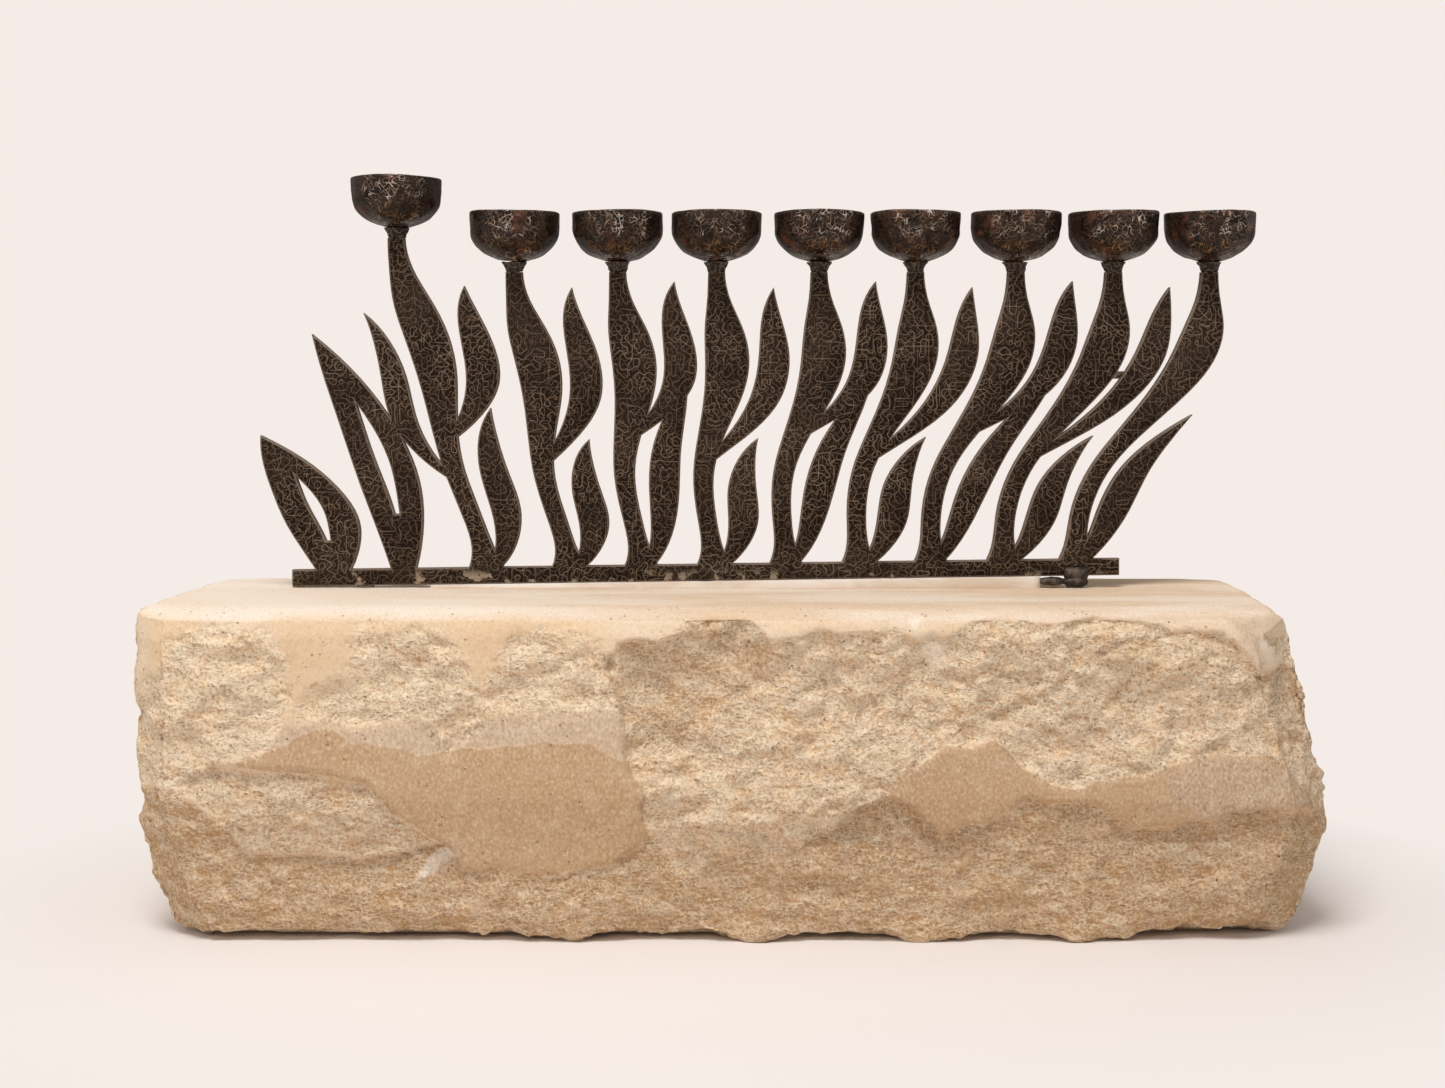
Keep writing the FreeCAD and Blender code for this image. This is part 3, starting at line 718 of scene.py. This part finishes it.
# %% Limestone: its colours, from the bed to the dust
bed = stone.coats(
    (236, 211, 182),
    (cloud.between(0.40, 0.62), (232, 200, 162)),
    (stone.stored("sawn") * 0.7, (243, 228, 214)),
    (streak.between(0.50, 0.66) * 0.6, (246, 232, 216)),
    (stone.stored("warm") * (streak.between(0.58, 0.40) * 0.6 + 0.3), (224, 195, 164)),
    (ochre * 0.7, (225, 192, 154)),
    (is_rough * 0.9, (248, 219, 183)),
    (stone.stored("great") * 0.65, (224, 189, 151)),
    # Painted shade on the lower band, the shell and the scoop
    (stone.stored("lower") * 0.9, (187, 148, 106)),
    (stone.stored("aside") * cloud.between(0.55, 0.42) * 0.6, (214, 176, 130)),
    # Painted shade in the hollows of the flakes
    (is_rough * flake.between(0.50, 0.32) * 0.3, (188, 140, 94)),
    # Painted shade under each swell and flake, and a painted highlight on its upper side
    (is_rough * swell_light_and_shade.between(-0.01, -0.09) * 0.4, (190, 152, 114)),
    (is_rough * swell_light_and_shade.between(0.01, 0.09) * 0.35, (255, 234, 204)),
    (is_rough * crest_light_and_shade.between(-0.01, -0.11) * 0.5, (174, 132, 92)),
    (is_rough * crest_light_and_shade.between(0.01, 0.11) * 0.45, (252, 232, 202)),
    # Pale curls, fewer where the shade is painted on the lower band, shell and scoop
    (is_rough * shaving.between(0.05, 0.8) * (0.55 - stone.stored("lower") * 0.2), (255, 240, 216)),
    (is_tan * 0.9, (197, 163, 128)),
    (is_grey * 0.75, (203, 177, 151)),
    (stone.stored("pale").between(0.2, 0.9) * 0.8, (246, 232, 214)),
    (mottle.between(0.5, 0.7) * 0.2, (242, 220, 192)),
    # Fine grain whose dark hollows and pale tops follow the fine bump, partly painted shade and
    # highlight
    (fibre.between(0.52, 0.34) * fine * 0.42, (160, 108, 64)),
    (fibre.between(0.52, 0.7) * fine * 0.45, (255, 234, 206)),
    (pits * 0.55, (128, 98, 70)))
print("limestone nodes so far", len(stone.tree.nodes))


# %% Limestone: its relief, and the block dressed with it
def dress(piece, finish, slot, *nodes):
    """Gives a new piece its material and its body, and hides the CAD nodes that it stands for."""
    piece.data.materials.clear()
    piece.data.materials.append(finish.material)
    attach(piece, "root")
    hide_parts(*nodes)
    piece.data.calc_loop_triangles()
    print(piece.name, "triangles", len(piece.data.loop_triangles))


# Each height has its middle near 0, so that a patch's border gets no step of its own. The split
# stone lies a little lower than the old skin, hence 0.75 for the swells.
relief = stone.carve(is_rough * (swell - 0.75), 2.4)
flaked = (flake - 0.5) * 0.6 + (crest - 0.4) * 0.6 + shaving * 0.12
relief = stone.carve(is_rough * flaked, 1.5, relief)
relief = stone.carve(fibre * fine + mottle * 0.6 - pits * 0.8, 0.36, relief)
stone.surface_with(colour=bed, normal=relief)
dress(block, stone, "limestone", "stone_block")

# %% [markdown]
# ## The openwork plate
# The plate is cut from iron a few millimetres thick, and its edges are eased with a file, which is
# where iron catches the light. Its outline is exact in the CAD model, so a merged copy of that mesh
# is the start. A Bevel modifier is the usual way to ease edges, but with its overlap clamped the
# narrowest neck sets the width everywhere, and without that it crosses itself there. So the front
# is kept alone and extruded to the full thickness, and its rim is inset and pushed back, as far as
# each place has room for.

# %% A merged copy, and a clean sheet from it
CREASE = 35  # degrees; the shading keeps sharper edges sharp


def own_copy(piece, name):
    """A copy with a mesh of its own."""
    return placed(name, piece.data.copy())


def close_up(piece, distance=0.00001):
    """Merges doubled vertices and turns every face outwards."""
    pick(piece, "vertices", lambda vertex: True)
    bpy.ops.mesh.remove_doubles(threshold=distance)
    bpy.ops.mesh.normals_make_consistent(inside=False)
    leave()


def flat_copy(node, name):
    """A merged copy of a CAD node's mesh, its loose triangles joined into larger flat faces."""
    piece = own_copy(frame["nodes"][node], name)
    close_up(piece)
    shape_with(piece, "DECIMATE", decimate_type="DISSOLVE", angle_limit=math.radians(1))
    return piece


def plain_sheet(piece):
    """Keeps a sheet's front and extrudes it to its full thickness, with no stray vertices."""
    thickness = np.ptp(points_of(piece)[:, 1])
    pick(piece, "polygons", lambda face: face.normal.y > -0.9)
    bpy.ops.mesh.delete(type="FACE")
    bpy.ops.mesh.select_all(action="SELECT")
    bpy.ops.mesh.extrude_region_move(TRANSFORM_OT_translate={"value": (0, thickness * MM, 0)})
    leave()
    close_up(piece)


plate, tie = flat_copy("openwork_plate", "bough_plate"), flat_copy("tie_bar", "bough_tie")
for piece in (plate, tie):
    plain_sheet(piece)
    print(piece.name, "faces", len(piece.data.polygons))

# %% A slanted edge round the openwork
INSET = 0.05  # millimetres, a first thin rim that is then widened
SAMPLE = 0.8  # millimetres between the points of the outline that a cut is measured against
ROOM_SHARE, RUN_SHARE = 0.7, 0.4  # how much of the free room and of an edge a cut may take


def room_for(corner, way, outline):
    """How far a corner can be cut back before the cut meets the outline's other side.

    A cut t moves the corner by t * way. It meets a point when that point is t away, which gives
    a square equation in t."""
    apart = outline - corner
    squares = (apart ** 2).sum(1)
    ahead = apart @ way
    under = ahead ** 2 - (way @ way - 1) * squares
    seen = (ahead > 0.01) & (under > 0.02 * ahead ** 2)
    return (squares[seen] / (ahead[seen] + np.sqrt(under[seen]))).min() if seen.any() else np.inf


def outline_of(piece, points, chosen):
    """The sheet's outline as points (x, z), and at each vertex its shortest edge in millimetres."""
    runs, shortest = [], np.full(len(points), np.inf)
    for edge in piece.data.edges:
        first, last = edge.vertices
        if not chosen[first] and not chosen[last] and abs(points[first, 1] - points[last, 1]) < 0.1:
            length = np.linalg.norm(points[last] - points[first])
            shortest[[first, last]] = np.minimum(shortest[[first, last]], length)
            shares = np.arange(0, 1, min(1, SAMPLE / length))[:, None]
            runs.append(points[first] + shares * (points[last] - points[first]))
    return np.concatenate(runs)[:, [0, 2]], shortest


def slant_edges(piece, width):
    """Cuts a sheet's edges back at 45 degrees on both sides, less where the iron is narrow."""
    pick(piece, "polygons", lambda face: abs(face.normal.y) > 0.9)
    bpy.ops.mesh.inset(thickness=INSET * MM, depth=0, use_boundary=True, use_even_offset=True)
    leave()
    points = points_of(piece)
    chosen = np.array([vertex.select for vertex in piece.data.vertices])
    inner, outer = np.flatnonzero(chosen), np.flatnonzero(~chosen)
    partner = np.array([outer[((points[outer] - points[i]) ** 2).sum(1).argmin()] for i in inner])
    outline, shortest = outline_of(piece, points, chosen)
    corners = points[partner][:, [0, 2]]
    ways = (points[inner][:, [0, 2]] - corners) / INSET
    room = np.array([room_for(corner, way, outline) for corner, way in zip(corners, ways)])
    slide = np.sqrt(np.maximum((ways ** 2).sum(1) - 1, 1e-6))
    cut = np.minimum.reduce([np.full(len(inner), width), ROOM_SHARE * room,
                             RUN_SHARE * shortest[partner] / slide])
    points[inner[:, None], [0, 2]] = corners + ways * cut[:, None]
    points[partner, 1] -= np.sign(points[partner, 1] - points[:, 1].mean()) * cut
    move_to(piece, points)
    shape_with(piece, "TRIANGULATE")
    smooth(piece, CREASE)
    print(piece.name, "edge corners", len(inner), "cut in full", int((cut > 0.99 * width).sum()))


slant_edges(plate, 0.5)
slant_edges(tie, 0.4)

# %% [markdown]
# ## The plate's dark iron
# The iron is a brown black, covered in fine curling lines that are paler and a little raised.
# Cells would give a net of lines that fork, as in cracked mud. A contour of a noise gives lines
# that wander and never fork, so the curls are used. The filed edges are paler, as bright wear and
# as a painted highlight, and a little lime from the mortar has smeared the foot rail. Where the file
# went is stored on the faces.

# %% Dark iron on the plate and its tie bar
iron = Finish("plate_iron", specular=0.05)
iron_lines = iron.curls(2.7, 0.26) + iron.curls(1.9, 0.22, 5.0) * 0.6
iron_patch = iron.noise(30, 3, shift=2.0)
shown = iron_lines.between(0.1, 1.0) * (iron.noise(12, 2, shift=6.0).between(0.3, 0.7) * 0.5 + 0.4)
rail_height = iron.add("ShaderNodeSeparateXYZ", {"Vector": iron.place}).amount("Z") / MM - BLOCK_TOP
smear = rail_height.between(7.0, 3.0) * iron.noise(6, 3, shift=12.0).between(0.60, 0.66)
iron_colour = iron.coats(
    (36, 27, 20),
    (iron_patch.between(0.4, 0.65), (54, 42, 33)),
    (iron.noise(1.2, 2, shift=3.0).between(0.6, 0.42) * 0.35, (20, 14, 10)),
    (shown, (132, 110, 91)),
    # Filed edges painted paler, as bright wear and as a painted highlight
    (iron.stored("worn") * 0.75, (142, 125, 110)),
    (smear * 0.8, (190, 168, 146)))
iron.surface_with(colour=iron_colour, roughness=0.42 + iron_patch * 0.16,
                  normal=iron.carve(iron_lines + iron.noise(1.6, 3) * 0.5, 0.25))


def mark_edge_faces(piece):
    """Stores 1 on every face that the cutter or the file has touched, and 0 on the two sides."""
    attribute = piece.data.attributes.new("worn", "FLOAT", "FACE")
    filed = [float(abs(face.normal.y) < 0.97) for face in piece.data.polygons]
    attribute.data.foreach_set("value", filed)


for piece, node in ((plate, "openwork_plate"), (tie, "tie_bar")):
    mark_edge_faces(piece)
    dress(piece, iron, "plate_iron", node)

# %% [markdown]
# ## The bowls
# Each bowl was sunk into a hollow with a hammer, so it is round but never quite true: the rim
# waves, and the outside is a patchwork of shallow dents. It could be a squashed sphere, but its
# foot, belly, rim and inside are one profile. So we spin one wall section all the way round, copy
# it to each place, and let Displace modifiers dent it. Their pattern hangs in space, so no two
# bowls come out alike, and four of them lean a little.

# %% One wall section, spun
def arc(start, end, bulge, steps):
    """Points of a curve from start to end that bulges sideways at its middle."""
    (r0, h0), (r1, h1) = start, end
    length = math.hypot(r1 - r0, h1 - h0)
    side = ((h1 - h0) / length, -(r1 - r0) / length)
    shares = [i / steps for i in range(steps + 1)]
    return [(r0 + s * (r1 - r0) + 4 * bulge * s * (1 - s) * side[0],
             h0 + s * (h1 - h0) + 4 * bulge * s * (1 - s) * side[1]) for s in shares]


def belly(radius, height, foot, first, last, steps):
    """A quarter of an ellipse, between two angles from its lowest point."""
    angles = [math.radians(first + (last - first) * i / steps) for i in range(steps + 1)]
    return [(radius * math.sin(a), foot + height * (1 - math.cos(a))) for a in angles]


def spun(name, section, steps=80):
    """A closed shell spun from (radius, height) points that start and end on the axis."""
    bpy.ops.object.select_all(action="DESELECT")
    bpy.ops.mesh.primitive_circle_add(vertices=len(section), radius=1)
    piece = bpy.context.object
    piece.name = name
    move_to(piece, np.array([(radius, 0, height) for radius, height in section]))
    last = len(section) - 1
    pick(piece, "edges", lambda edge: set(edge.vertices) == {0, last})
    bpy.ops.mesh.delete(type="EDGE")
    bpy.ops.mesh.select_all(action="SELECT")
    bpy.ops.mesh.spin(steps=steps, angle=2 * math.pi, center=(0, 0, 0), axis=(0, 0, 1),
                      use_auto_merge=True)
    leave()
    close_up(piece)
    return piece


outside = ([(0, 0), (3.4, 0)] + belly(15.1, 10.3, 0.0, 21, 90, 14)
           + arc((15.15, 11.6), (15.35, 15.9), 0.0, 3))
rim = [(15.3, 16.4), (15.0, 16.68), (14.6, 16.72), (14.2, 16.55), (13.95, 16.1)]
inside = arc((13.8, 15.2), (13.8, 10.6), 0.0, 3) + belly(13.8, 8.9, 1.5, 88, 12, 12) + [(0, 1.5)]
bowl_blank = spun("bowl_blank", outside + rim + inside)
print("bowl blank faces", len(bowl_blank.data.polygons))

# %% Leaning, and a rim that waves
# Degrees that a bowl leans about x and about y
LEAN = {"row_8_bowl": (1.4, -0.4), "row_1_bowl": (0.0, 0.5), "row_7_bowl": (0.3, -0.5),
        "helper_bowl": (0.0, 0.3)}


def tilt(points, about_x, about_y):
    """Leans points a few degrees about the origin."""
    ax, ay = math.radians(about_x), math.radians(about_y)
    turn_x = np.array(((1, 0, 0), (0, math.cos(ax), -math.sin(ax)), (0, math.sin(ax), math.cos(ax))))
    turn_y = np.array(((math.cos(ay), 0, math.sin(ay)), (0, 1, 0), (-math.sin(ay), 0, math.cos(ay))))
    return points @ turn_x.T @ turn_y.T


def waved_rim(points, seed):
    """Lets the rim rise and fall a little, more the higher a point is."""
    turn = np.arctan2(points[:, 1], points[:, 0])
    share = soft_step(points[:, 2], 8, 16)
    wave = 0.10 * np.sin(2 * turn + seed) + 0.07 * np.sin(3 * turn + 2.3 * seed) - 0.15
    lifted = points.copy()
    lifted[:, 2] += share * wave
    lifted[:, :2] *= (1 + 0.004 * share * np.sin(3 * turn + 1.7 * seed))[:, None]
    return lifted


blank_points = points_of(bowl_blank)
waves = abs(waved_rim(blank_points, 1.3) - blank_points)
print("a rim moves by up to", round(float(waves.max()), 2), "mm")

# %% A hammered bowl
BOWL_REACH = 15.48  # millimetres from a bowl's middle that its CAD box allows


def seat_of(node):
    """The middle of a CAD node's underside in millimetres."""
    low, high = box_of(node)
    return np.array(((low[0] + high[0]) / 2, (low[1] + high[1]) / 2, low[2]))


def hammered_bowl(node, seed):
    low, high = box_of(node)
    seat = seat_of(node)
    bowl = own_copy(bowl_blank, node.replace("bowl", "hammered_bowl"))
    shaped = tilt(waved_rim(points_of(bowl), seed), *LEAN.get(node, (0.0, 0.0)))
    move_to(bowl, shaped + seat)
    shape_with(bowl, "SUBSURF", levels=1, render_levels=1)
    group(bowl, "dented", 1 - 0.75 * soft_step(points_of(bowl)[:, 2] - low[2], 11, 15.5))
    dent(bowl, "VORONOI", 4.5, 0.5, "dented")
    dent(bowl, "CLOUDS", 9, 0.7, "dented", noise_depth=1)
    points = points_of(bowl)
    points[:, :2] = np.clip(points[:, :2], seat[:2] - BOWL_REACH, seat[:2] + BOWL_REACH)
    points[:, 2] = np.clip(points[:, 2], low[2], high[2] - CLEARANCE)
    move_to(bowl, points)
    height = points[:, 2] - low[2]
    # Painted light: the middle towards the viewer gets more pale lines and the sides stay darker
    store(bowl, "busy", 1 - soft_step(abs((points[:, 0] - seat[0]) / 15.5 - 0.06), 0.42, 0.78))
    store(bowl, "belly", soft_step(height, 1, 3) * (1 - soft_step(height, 6, 9)))
    smooth(bowl)
    return bowl


print("seat of the helper bowl", seat_of("helper_bowl").round(1))

# %% [markdown]
# ## The bowls' glossy iron
# The hammered iron is a brown black with a thin gloss, as of oil, and rust shows through in places.
# It is covered in pale wavering lines. Towards the viewer more of them show, as painted light, and
# painted glints sit on some of them; round the sides it is plain and darker, as painted shade, and
# the lines on its lower belly are painted warmer, as a warm highlight. A plain dark gloss would look
# like plastic, because the lines are what the eye takes for hammered metal. They are curls of two
# sizes, and the coat is strong only towards the viewer.

# %% Hammered iron, dark and glossy
hammered = Finish("bowl_iron", specular=0.08, coat_roughness=0.16)
# Towards the viewer more pale lines show, as painted light; the sides stay darker as painted shade
busy = hammered.stored("busy") * hammered.noise(7, 2, shift=3.0).between(0.3, 0.6)
creases = hammered.curls(2.0, 0.24, 1.0) + hammered.curls(1.5, 0.2, 6.0) * 0.7
hammered_patch = hammered.noise(5, 3, shift=4.0)
rust = hammered.noise(8, 3, shift=7.7).between(0.56, 0.7)
creased = creases.between(0.15, 1.0) * (
    0.07 + busy * hammered.noise(3, 2, shift=5.0).between(0.35, 0.65) * 0.85)
# The lines on the lower belly are painted warmer, as a warm highlight
line_colour = hammered.coats((168, 138, 114), (hammered.stored("belly"), (162, 122, 84)))
# Painted glints: small pale highlights on some of the lines
painted_glints = (creases.between(0.3, 0.9) * hammered.stored("busy")
          * hammered.noise(4, 2, shift=9.0).between(0.54, 0.66) * 0.6)
hammered_colour = hammered.coats(
    (22, 13, 8),
    (hammered_patch.between(0.35, 0.65), (46, 31, 21)),
    (rust * 0.6, (100, 58, 40)),
    (creased, line_colour),
    (painted_glints * (1 - hammered.stored("belly")), (236, 222, 208)))
dents = (hammered.noise(2.6, 3) * 0.9 + creases * 0.4) * (0.3 + busy * 0.7)
hammered.surface_with(colour=hammered_colour, roughness=0.24 + hammered_patch * 0.16,
                      coat=busy * 0.3 + 0.05, normal=hammered.carve(dents, 0.7))

for seed, node in enumerate(BOWLS):
    dress(hammered_bowl(node, 1.3 * seed), hammered, "bowl_iron", node)
bpy.data.objects.remove(bowl_blank)

# %% [markdown]
# ## The collars
# Under each bowl the stem flares into a small cone of iron, lumpy where it was forged. A cone
# primitive has a straight flank, and the real one is hollow, so each is spun from a section, copied
# and dented like the bowls. Its iron is duller than theirs, with the same pale lines.

# %% Collars
collar_section = ([(0, 0), (1.6, 0)] + arc((2.9, 0.0), (4.35, 3.3), -0.35, 7)
                  + [(4.2, 3.48), (2.2, 3.48), (0, 3.48)])
collar_blank = spun("collar_blank", collar_section, 40)
forged = Finish("collar_iron", specular=0.25)
forged_patch = forged.noise(4, 3)
forged_colour = forged.coats((26, 19, 15), (forged_patch.between(0.4, 0.65), (48, 37, 29)),
                             (forged.curls(1.8, 0.25, 2.0) * 0.6, (124, 102, 82)))
forged.surface_with(colour=forged_colour, roughness=0.34 + forged_patch * 0.2,
                    normal=forged.carve(forged.noise(1.5, 3), 0.3))
for node in COLLARS:
    collar = own_copy(collar_blank, node.replace("collar", "forged_collar"))
    move_to(collar, points_of(collar) + seat_of(node))
    shape_with(collar, "SUBSURF", levels=1, render_levels=1)
    dent(collar, "CLOUDS", 2.6, 1.1, noise_depth=1)
    move_to(collar, np.clip(points_of(collar), *box_of(node)))
    smooth(collar)
    dress(collar, forged, "collar_iron", node)
bpy.data.objects.remove(collar_blank)

# %% [markdown]
# ## The mortar
# The foot rail rests on a thin wedge of pale mortar, smoothed with a trowel. Its shape is plain and
# exact in the CAD model, and its edges are all wide apart, so here a copy with a Bevel modifier is
# enough. A fine bump stands for the sand in it.

# %% Mortar bed
lime = Finish("mortar", roughness=0.85, specular=0.25)
lime_patch = lime.noise(9, 4, stretch=(0.4, 1, 1))
lime.surface_with(
    colour=lime.coats((226, 208, 190), (lime_patch.between(0.35, 0.65), (244, 234, 224))),
    normal=lime.carve(lime.noise(1.4, 4) + lime_patch * 0.5, 0.3))
mortar = flat_copy("mortar_bed", "mortar_wedge")
shape_with(mortar, "BEVEL", width=0.25 * MM, segments=2, limit_method="ANGLE",
           angle_limit=math.radians(40), use_clamp_overlap=True)
shape_with(mortar, "TRIANGULATE")
smooth(mortar, CREASE)
dress(mortar, lime, "mortar", "mortar_bed")

# %% [markdown]
# ## The weld
# A lump of weld holds the foot rail's right end to a pin. Weld metal runs together from drops, so
# the CAD lump is joined with two squashed spheres. A Boolean would leave a crease between them, and
# a voxel Remesh melts all three into one skin, which is smoothed and then dented.

# %% Weld lump
# Middle and radii of the two drops in millimetres
DROPS = (((110.2, 15.6, 107.3), (4.8, 2.0, 1.5)), ((118.4, 15.3, 107.0), (4.5, 1.9, 1.8)))
WELD_LOWEST = (105.4, 13.2, 105.25)  # no further left, forward or down than this

weld = Finish("weld_metal", specular=0.3)
weld_patch = weld.noise(2.6, 3)
weld.surface_with(colour=weld.coats((40, 32, 27), (weld_patch.between(0.4, 0.65), (86, 74, 65))),
                  roughness=0.35 + weld_patch * 0.2, normal=weld.carve(weld.noise(1.1, 3), 0.25))
lump = own_copy(frame["nodes"]["anchor_weld_bead"], "weld_lump")
close_up(lump)
for place, radii in DROPS:
    bpy.ops.object.select_all(action="DESELECT")
    bpy.ops.mesh.primitive_uv_sphere_add(segments=24, ring_count=12)
    drop = bpy.context.object
    move_to(drop, points_of(drop) * MM * np.array(radii) + np.array(place))
    lump.select_set(True)
    bpy.context.view_layer.objects.active = lump
    bpy.ops.object.join()
shape_with(lump, "REMESH", mode="VOXEL", voxel_size=0.28 * MM)
shape_with(lump, "SMOOTH", factor=0.5, iterations=3)
dent(lump, "CLOUDS", 1.8, 0.5, noise_depth=2)
move_to(lump, np.maximum(points_of(lump), WELD_LOWEST))
smooth(lump)
dress(lump, weld, "weld_metal", "anchor_weld_bead")

# %% [markdown]
# ## The hidden fixing
# Three steel pins under the foot rail hold the heavy plate upright, and resin fills the drilled
# holes round them. They are inside the stone, so new meshes would be wasted. Their CAD meshes stay
# and get a finish of their own: fine rings from the lathe on the steel, and soft clouds in the resin.

# %% Pins and resin
def paint(finish, *nodes):
    """Gives CAD nodes a better material, and leaves their meshes as they are."""
    for name in nodes:
        for slot in frame["nodes"][name].material_slots:
            slot.material = finish.material
    print(finish.material.name, "on", ", ".join(nodes))


SIDES = ("left", "middle", "right")
pin_steel = Finish("pin_steel", roughness=0.45, metallic=0.9)
turning = pin_steel.noise(0.8, 2, stretch=(0.2, 0.2, 1))
pin_steel.surface_with(colour=pin_steel.coats((92, 84, 78), (turning, (142, 134, 128))),
                       normal=pin_steel.carve(turning, 0.05))
resin = Finish("resin", specular=0.4)
resin_patch = resin.noise(3, 3)
resin.surface_with(colour=resin.coats((214, 198, 170), (resin_patch, (230, 214, 188))),
                   normal=resin.carve(resin_patch, 0.1))
paint(pin_steel, *(f"anchor_pin_{side}" for side in SIDES))
paint(resin, *(f"anchor_resin_{side}" for side in SIDES))

# %% [markdown]
# ## Floor and background
# The object stands on a pale sweep that runs into the background with no line between them. A floor
# with a wall behind it would show a corner, so the plane's far edge is extruded upwards and the
# corner is bevelled wide. Near the block the floor keeps its soft shadow. Further away the camera
# sees a plain glow instead, so nothing bright has to shine on the object.

# %% Sweep
BACKGROUND = (245, 236, 231)
FLOOR_SIZE, WALL_HEIGHT, BEND = 8, 5, 2.0  # metres
FLOOR_DROP = 0.0002  # metres under the block, so that the two don't share a plane
SHADOW_REACH, GLOW_REACH = 0.17, 0.31  # metres from the middle where the glow starts and is full


def add_sweep():
    bpy.ops.object.select_all(action="DESELECT")
    bpy.ops.mesh.primitive_plane_add(size=FLOOR_SIZE, location=(0, 0, -FLOOR_DROP))
    sweep = bpy.context.object
    sweep.name = "sweep"
    bpy.ops.object.transform_apply(location=True, rotation=True, scale=True)
    far = FLOOR_SIZE / 2 - 0.1
    pick(sweep, "edges", lambda edge: all(sweep.data.vertices[v].co.y > far for v in edge.vertices))
    bpy.ops.mesh.extrude_region_move(TRANSFORM_OT_translate={"value": (0, 0, WALL_HEIGHT)})
    leave()
    shape_with(sweep, "BEVEL", width=BEND, segments=16, limit_method="ANGLE",
               angle_limit=math.radians(40))
    smooth(sweep)
    return sweep


def sweep_finish():
    pale = Finish("sweep", roughness=0.9, specular=0.1)
    pale.surface_with(colour=linear(238, 230, 225))
    glow = pale.add("ShaderNodeEmission", {"Color": linear(*BACKGROUND), "Strength": 1.0}).out()
    oval = pale.add("ShaderNodeVectorMath", {0: pale.place, 1: (1.0, 1.3, 1.0)},
                    operation="MULTIPLY").out()
    away = pale.add("ShaderNodeVectorMath", {0: oval}, operation="LENGTH").amount("Value")
    seen = pale.add("ShaderNodeLightPath", {}).amount("Is Camera Ray")
    both = pale.add("ShaderNodeMixShader", {0: away.between(SHADOW_REACH, GLOW_REACH) * seen,
                                            1: pale.surface.outputs[0], 2: glow}).out()
    pale.feed(pale.end.inputs["Surface"], both)
    return pale


sweep = add_sweep()
sweep.data.materials.append(sweep_finish().material)
print("sweep faces", len(sweep.data.polygons))

# %% [markdown]
# ## Light
# The look is of a stone in soft daylight. One broad lamp from the upper left gives the stone its
# relief, a weak one overhead lifts the top, and a small one low on the left puts glints on the
# bowls. An even surround fills the shadows. It could be a picture of a studio, but a plain colour
# keeps the stone's own colours as they were written. The camera, and gloss, see it as the pale
# background.

# %% Surround and lamps
DAYLIGHT, FILL = (1.0, 0.985, 0.97, 1), 0.33
# Name, place and aim in metres, size in metres and power in watts
LAMPS = (("key", (-0.22, -0.56, 1.33), (0, 0, 0.1), 0.5, 13.5),
         ("overhead", (0.1, 0.1, 1.4), (0, 0, 0), 1.2, 1.5),
         ("glint", (-0.45, -1.1, 0.75), (0, 0, 0.2), 0.12, 1.6))


def set_surround():
    world = bpy.data.worlds.new("surround")
    bpy.context.scene.world = world
    graph = Graph(world)
    path = graph.add("ShaderNodeLightPath", {})
    shows = path.amount("Is Camera Ray")
    for ray in ("Is Glossy Ray", "Is Transmission Ray"):
        shows = shows.maths("MAXIMUM", shows, path.amount(ray))
    light = graph.add("ShaderNodeBackground", {"Color": DAYLIGHT, "Strength": FILL}).out()
    view = graph.add("ShaderNodeBackground", {"Color": linear(*BACKGROUND)}).out()
    both = graph.add("ShaderNodeMixShader", {0: shows, 1: light, 2: view}).out()
    graph.add("ShaderNodeOutputWorld", {"Surface": both})


def add_lamp(name, place, aim, size, power):
    data = bpy.data.lights.new(name, "AREA")
    data.size = size
    data.energy = power
    lamp = placed(name, data)
    lamp.location = place
    way = np.array(aim) - np.array(place)
    lamp.rotation_euler = (math.atan2(math.hypot(way[0], way[1]), -way[2]), 0,
                           math.atan2(way[1], way[0]) - math.pi / 2)
    print("lamp", name, "is", round(float(np.linalg.norm(way)), 2), "m away")


set_surround()
for lamp in LAMPS:
    add_lamp(*lamp)
bpy.context.scene.view_settings.view_transform = "Standard"

# %% [markdown]
# ## Sizes
# The dressed object has to stay inside the box of the CAD model.
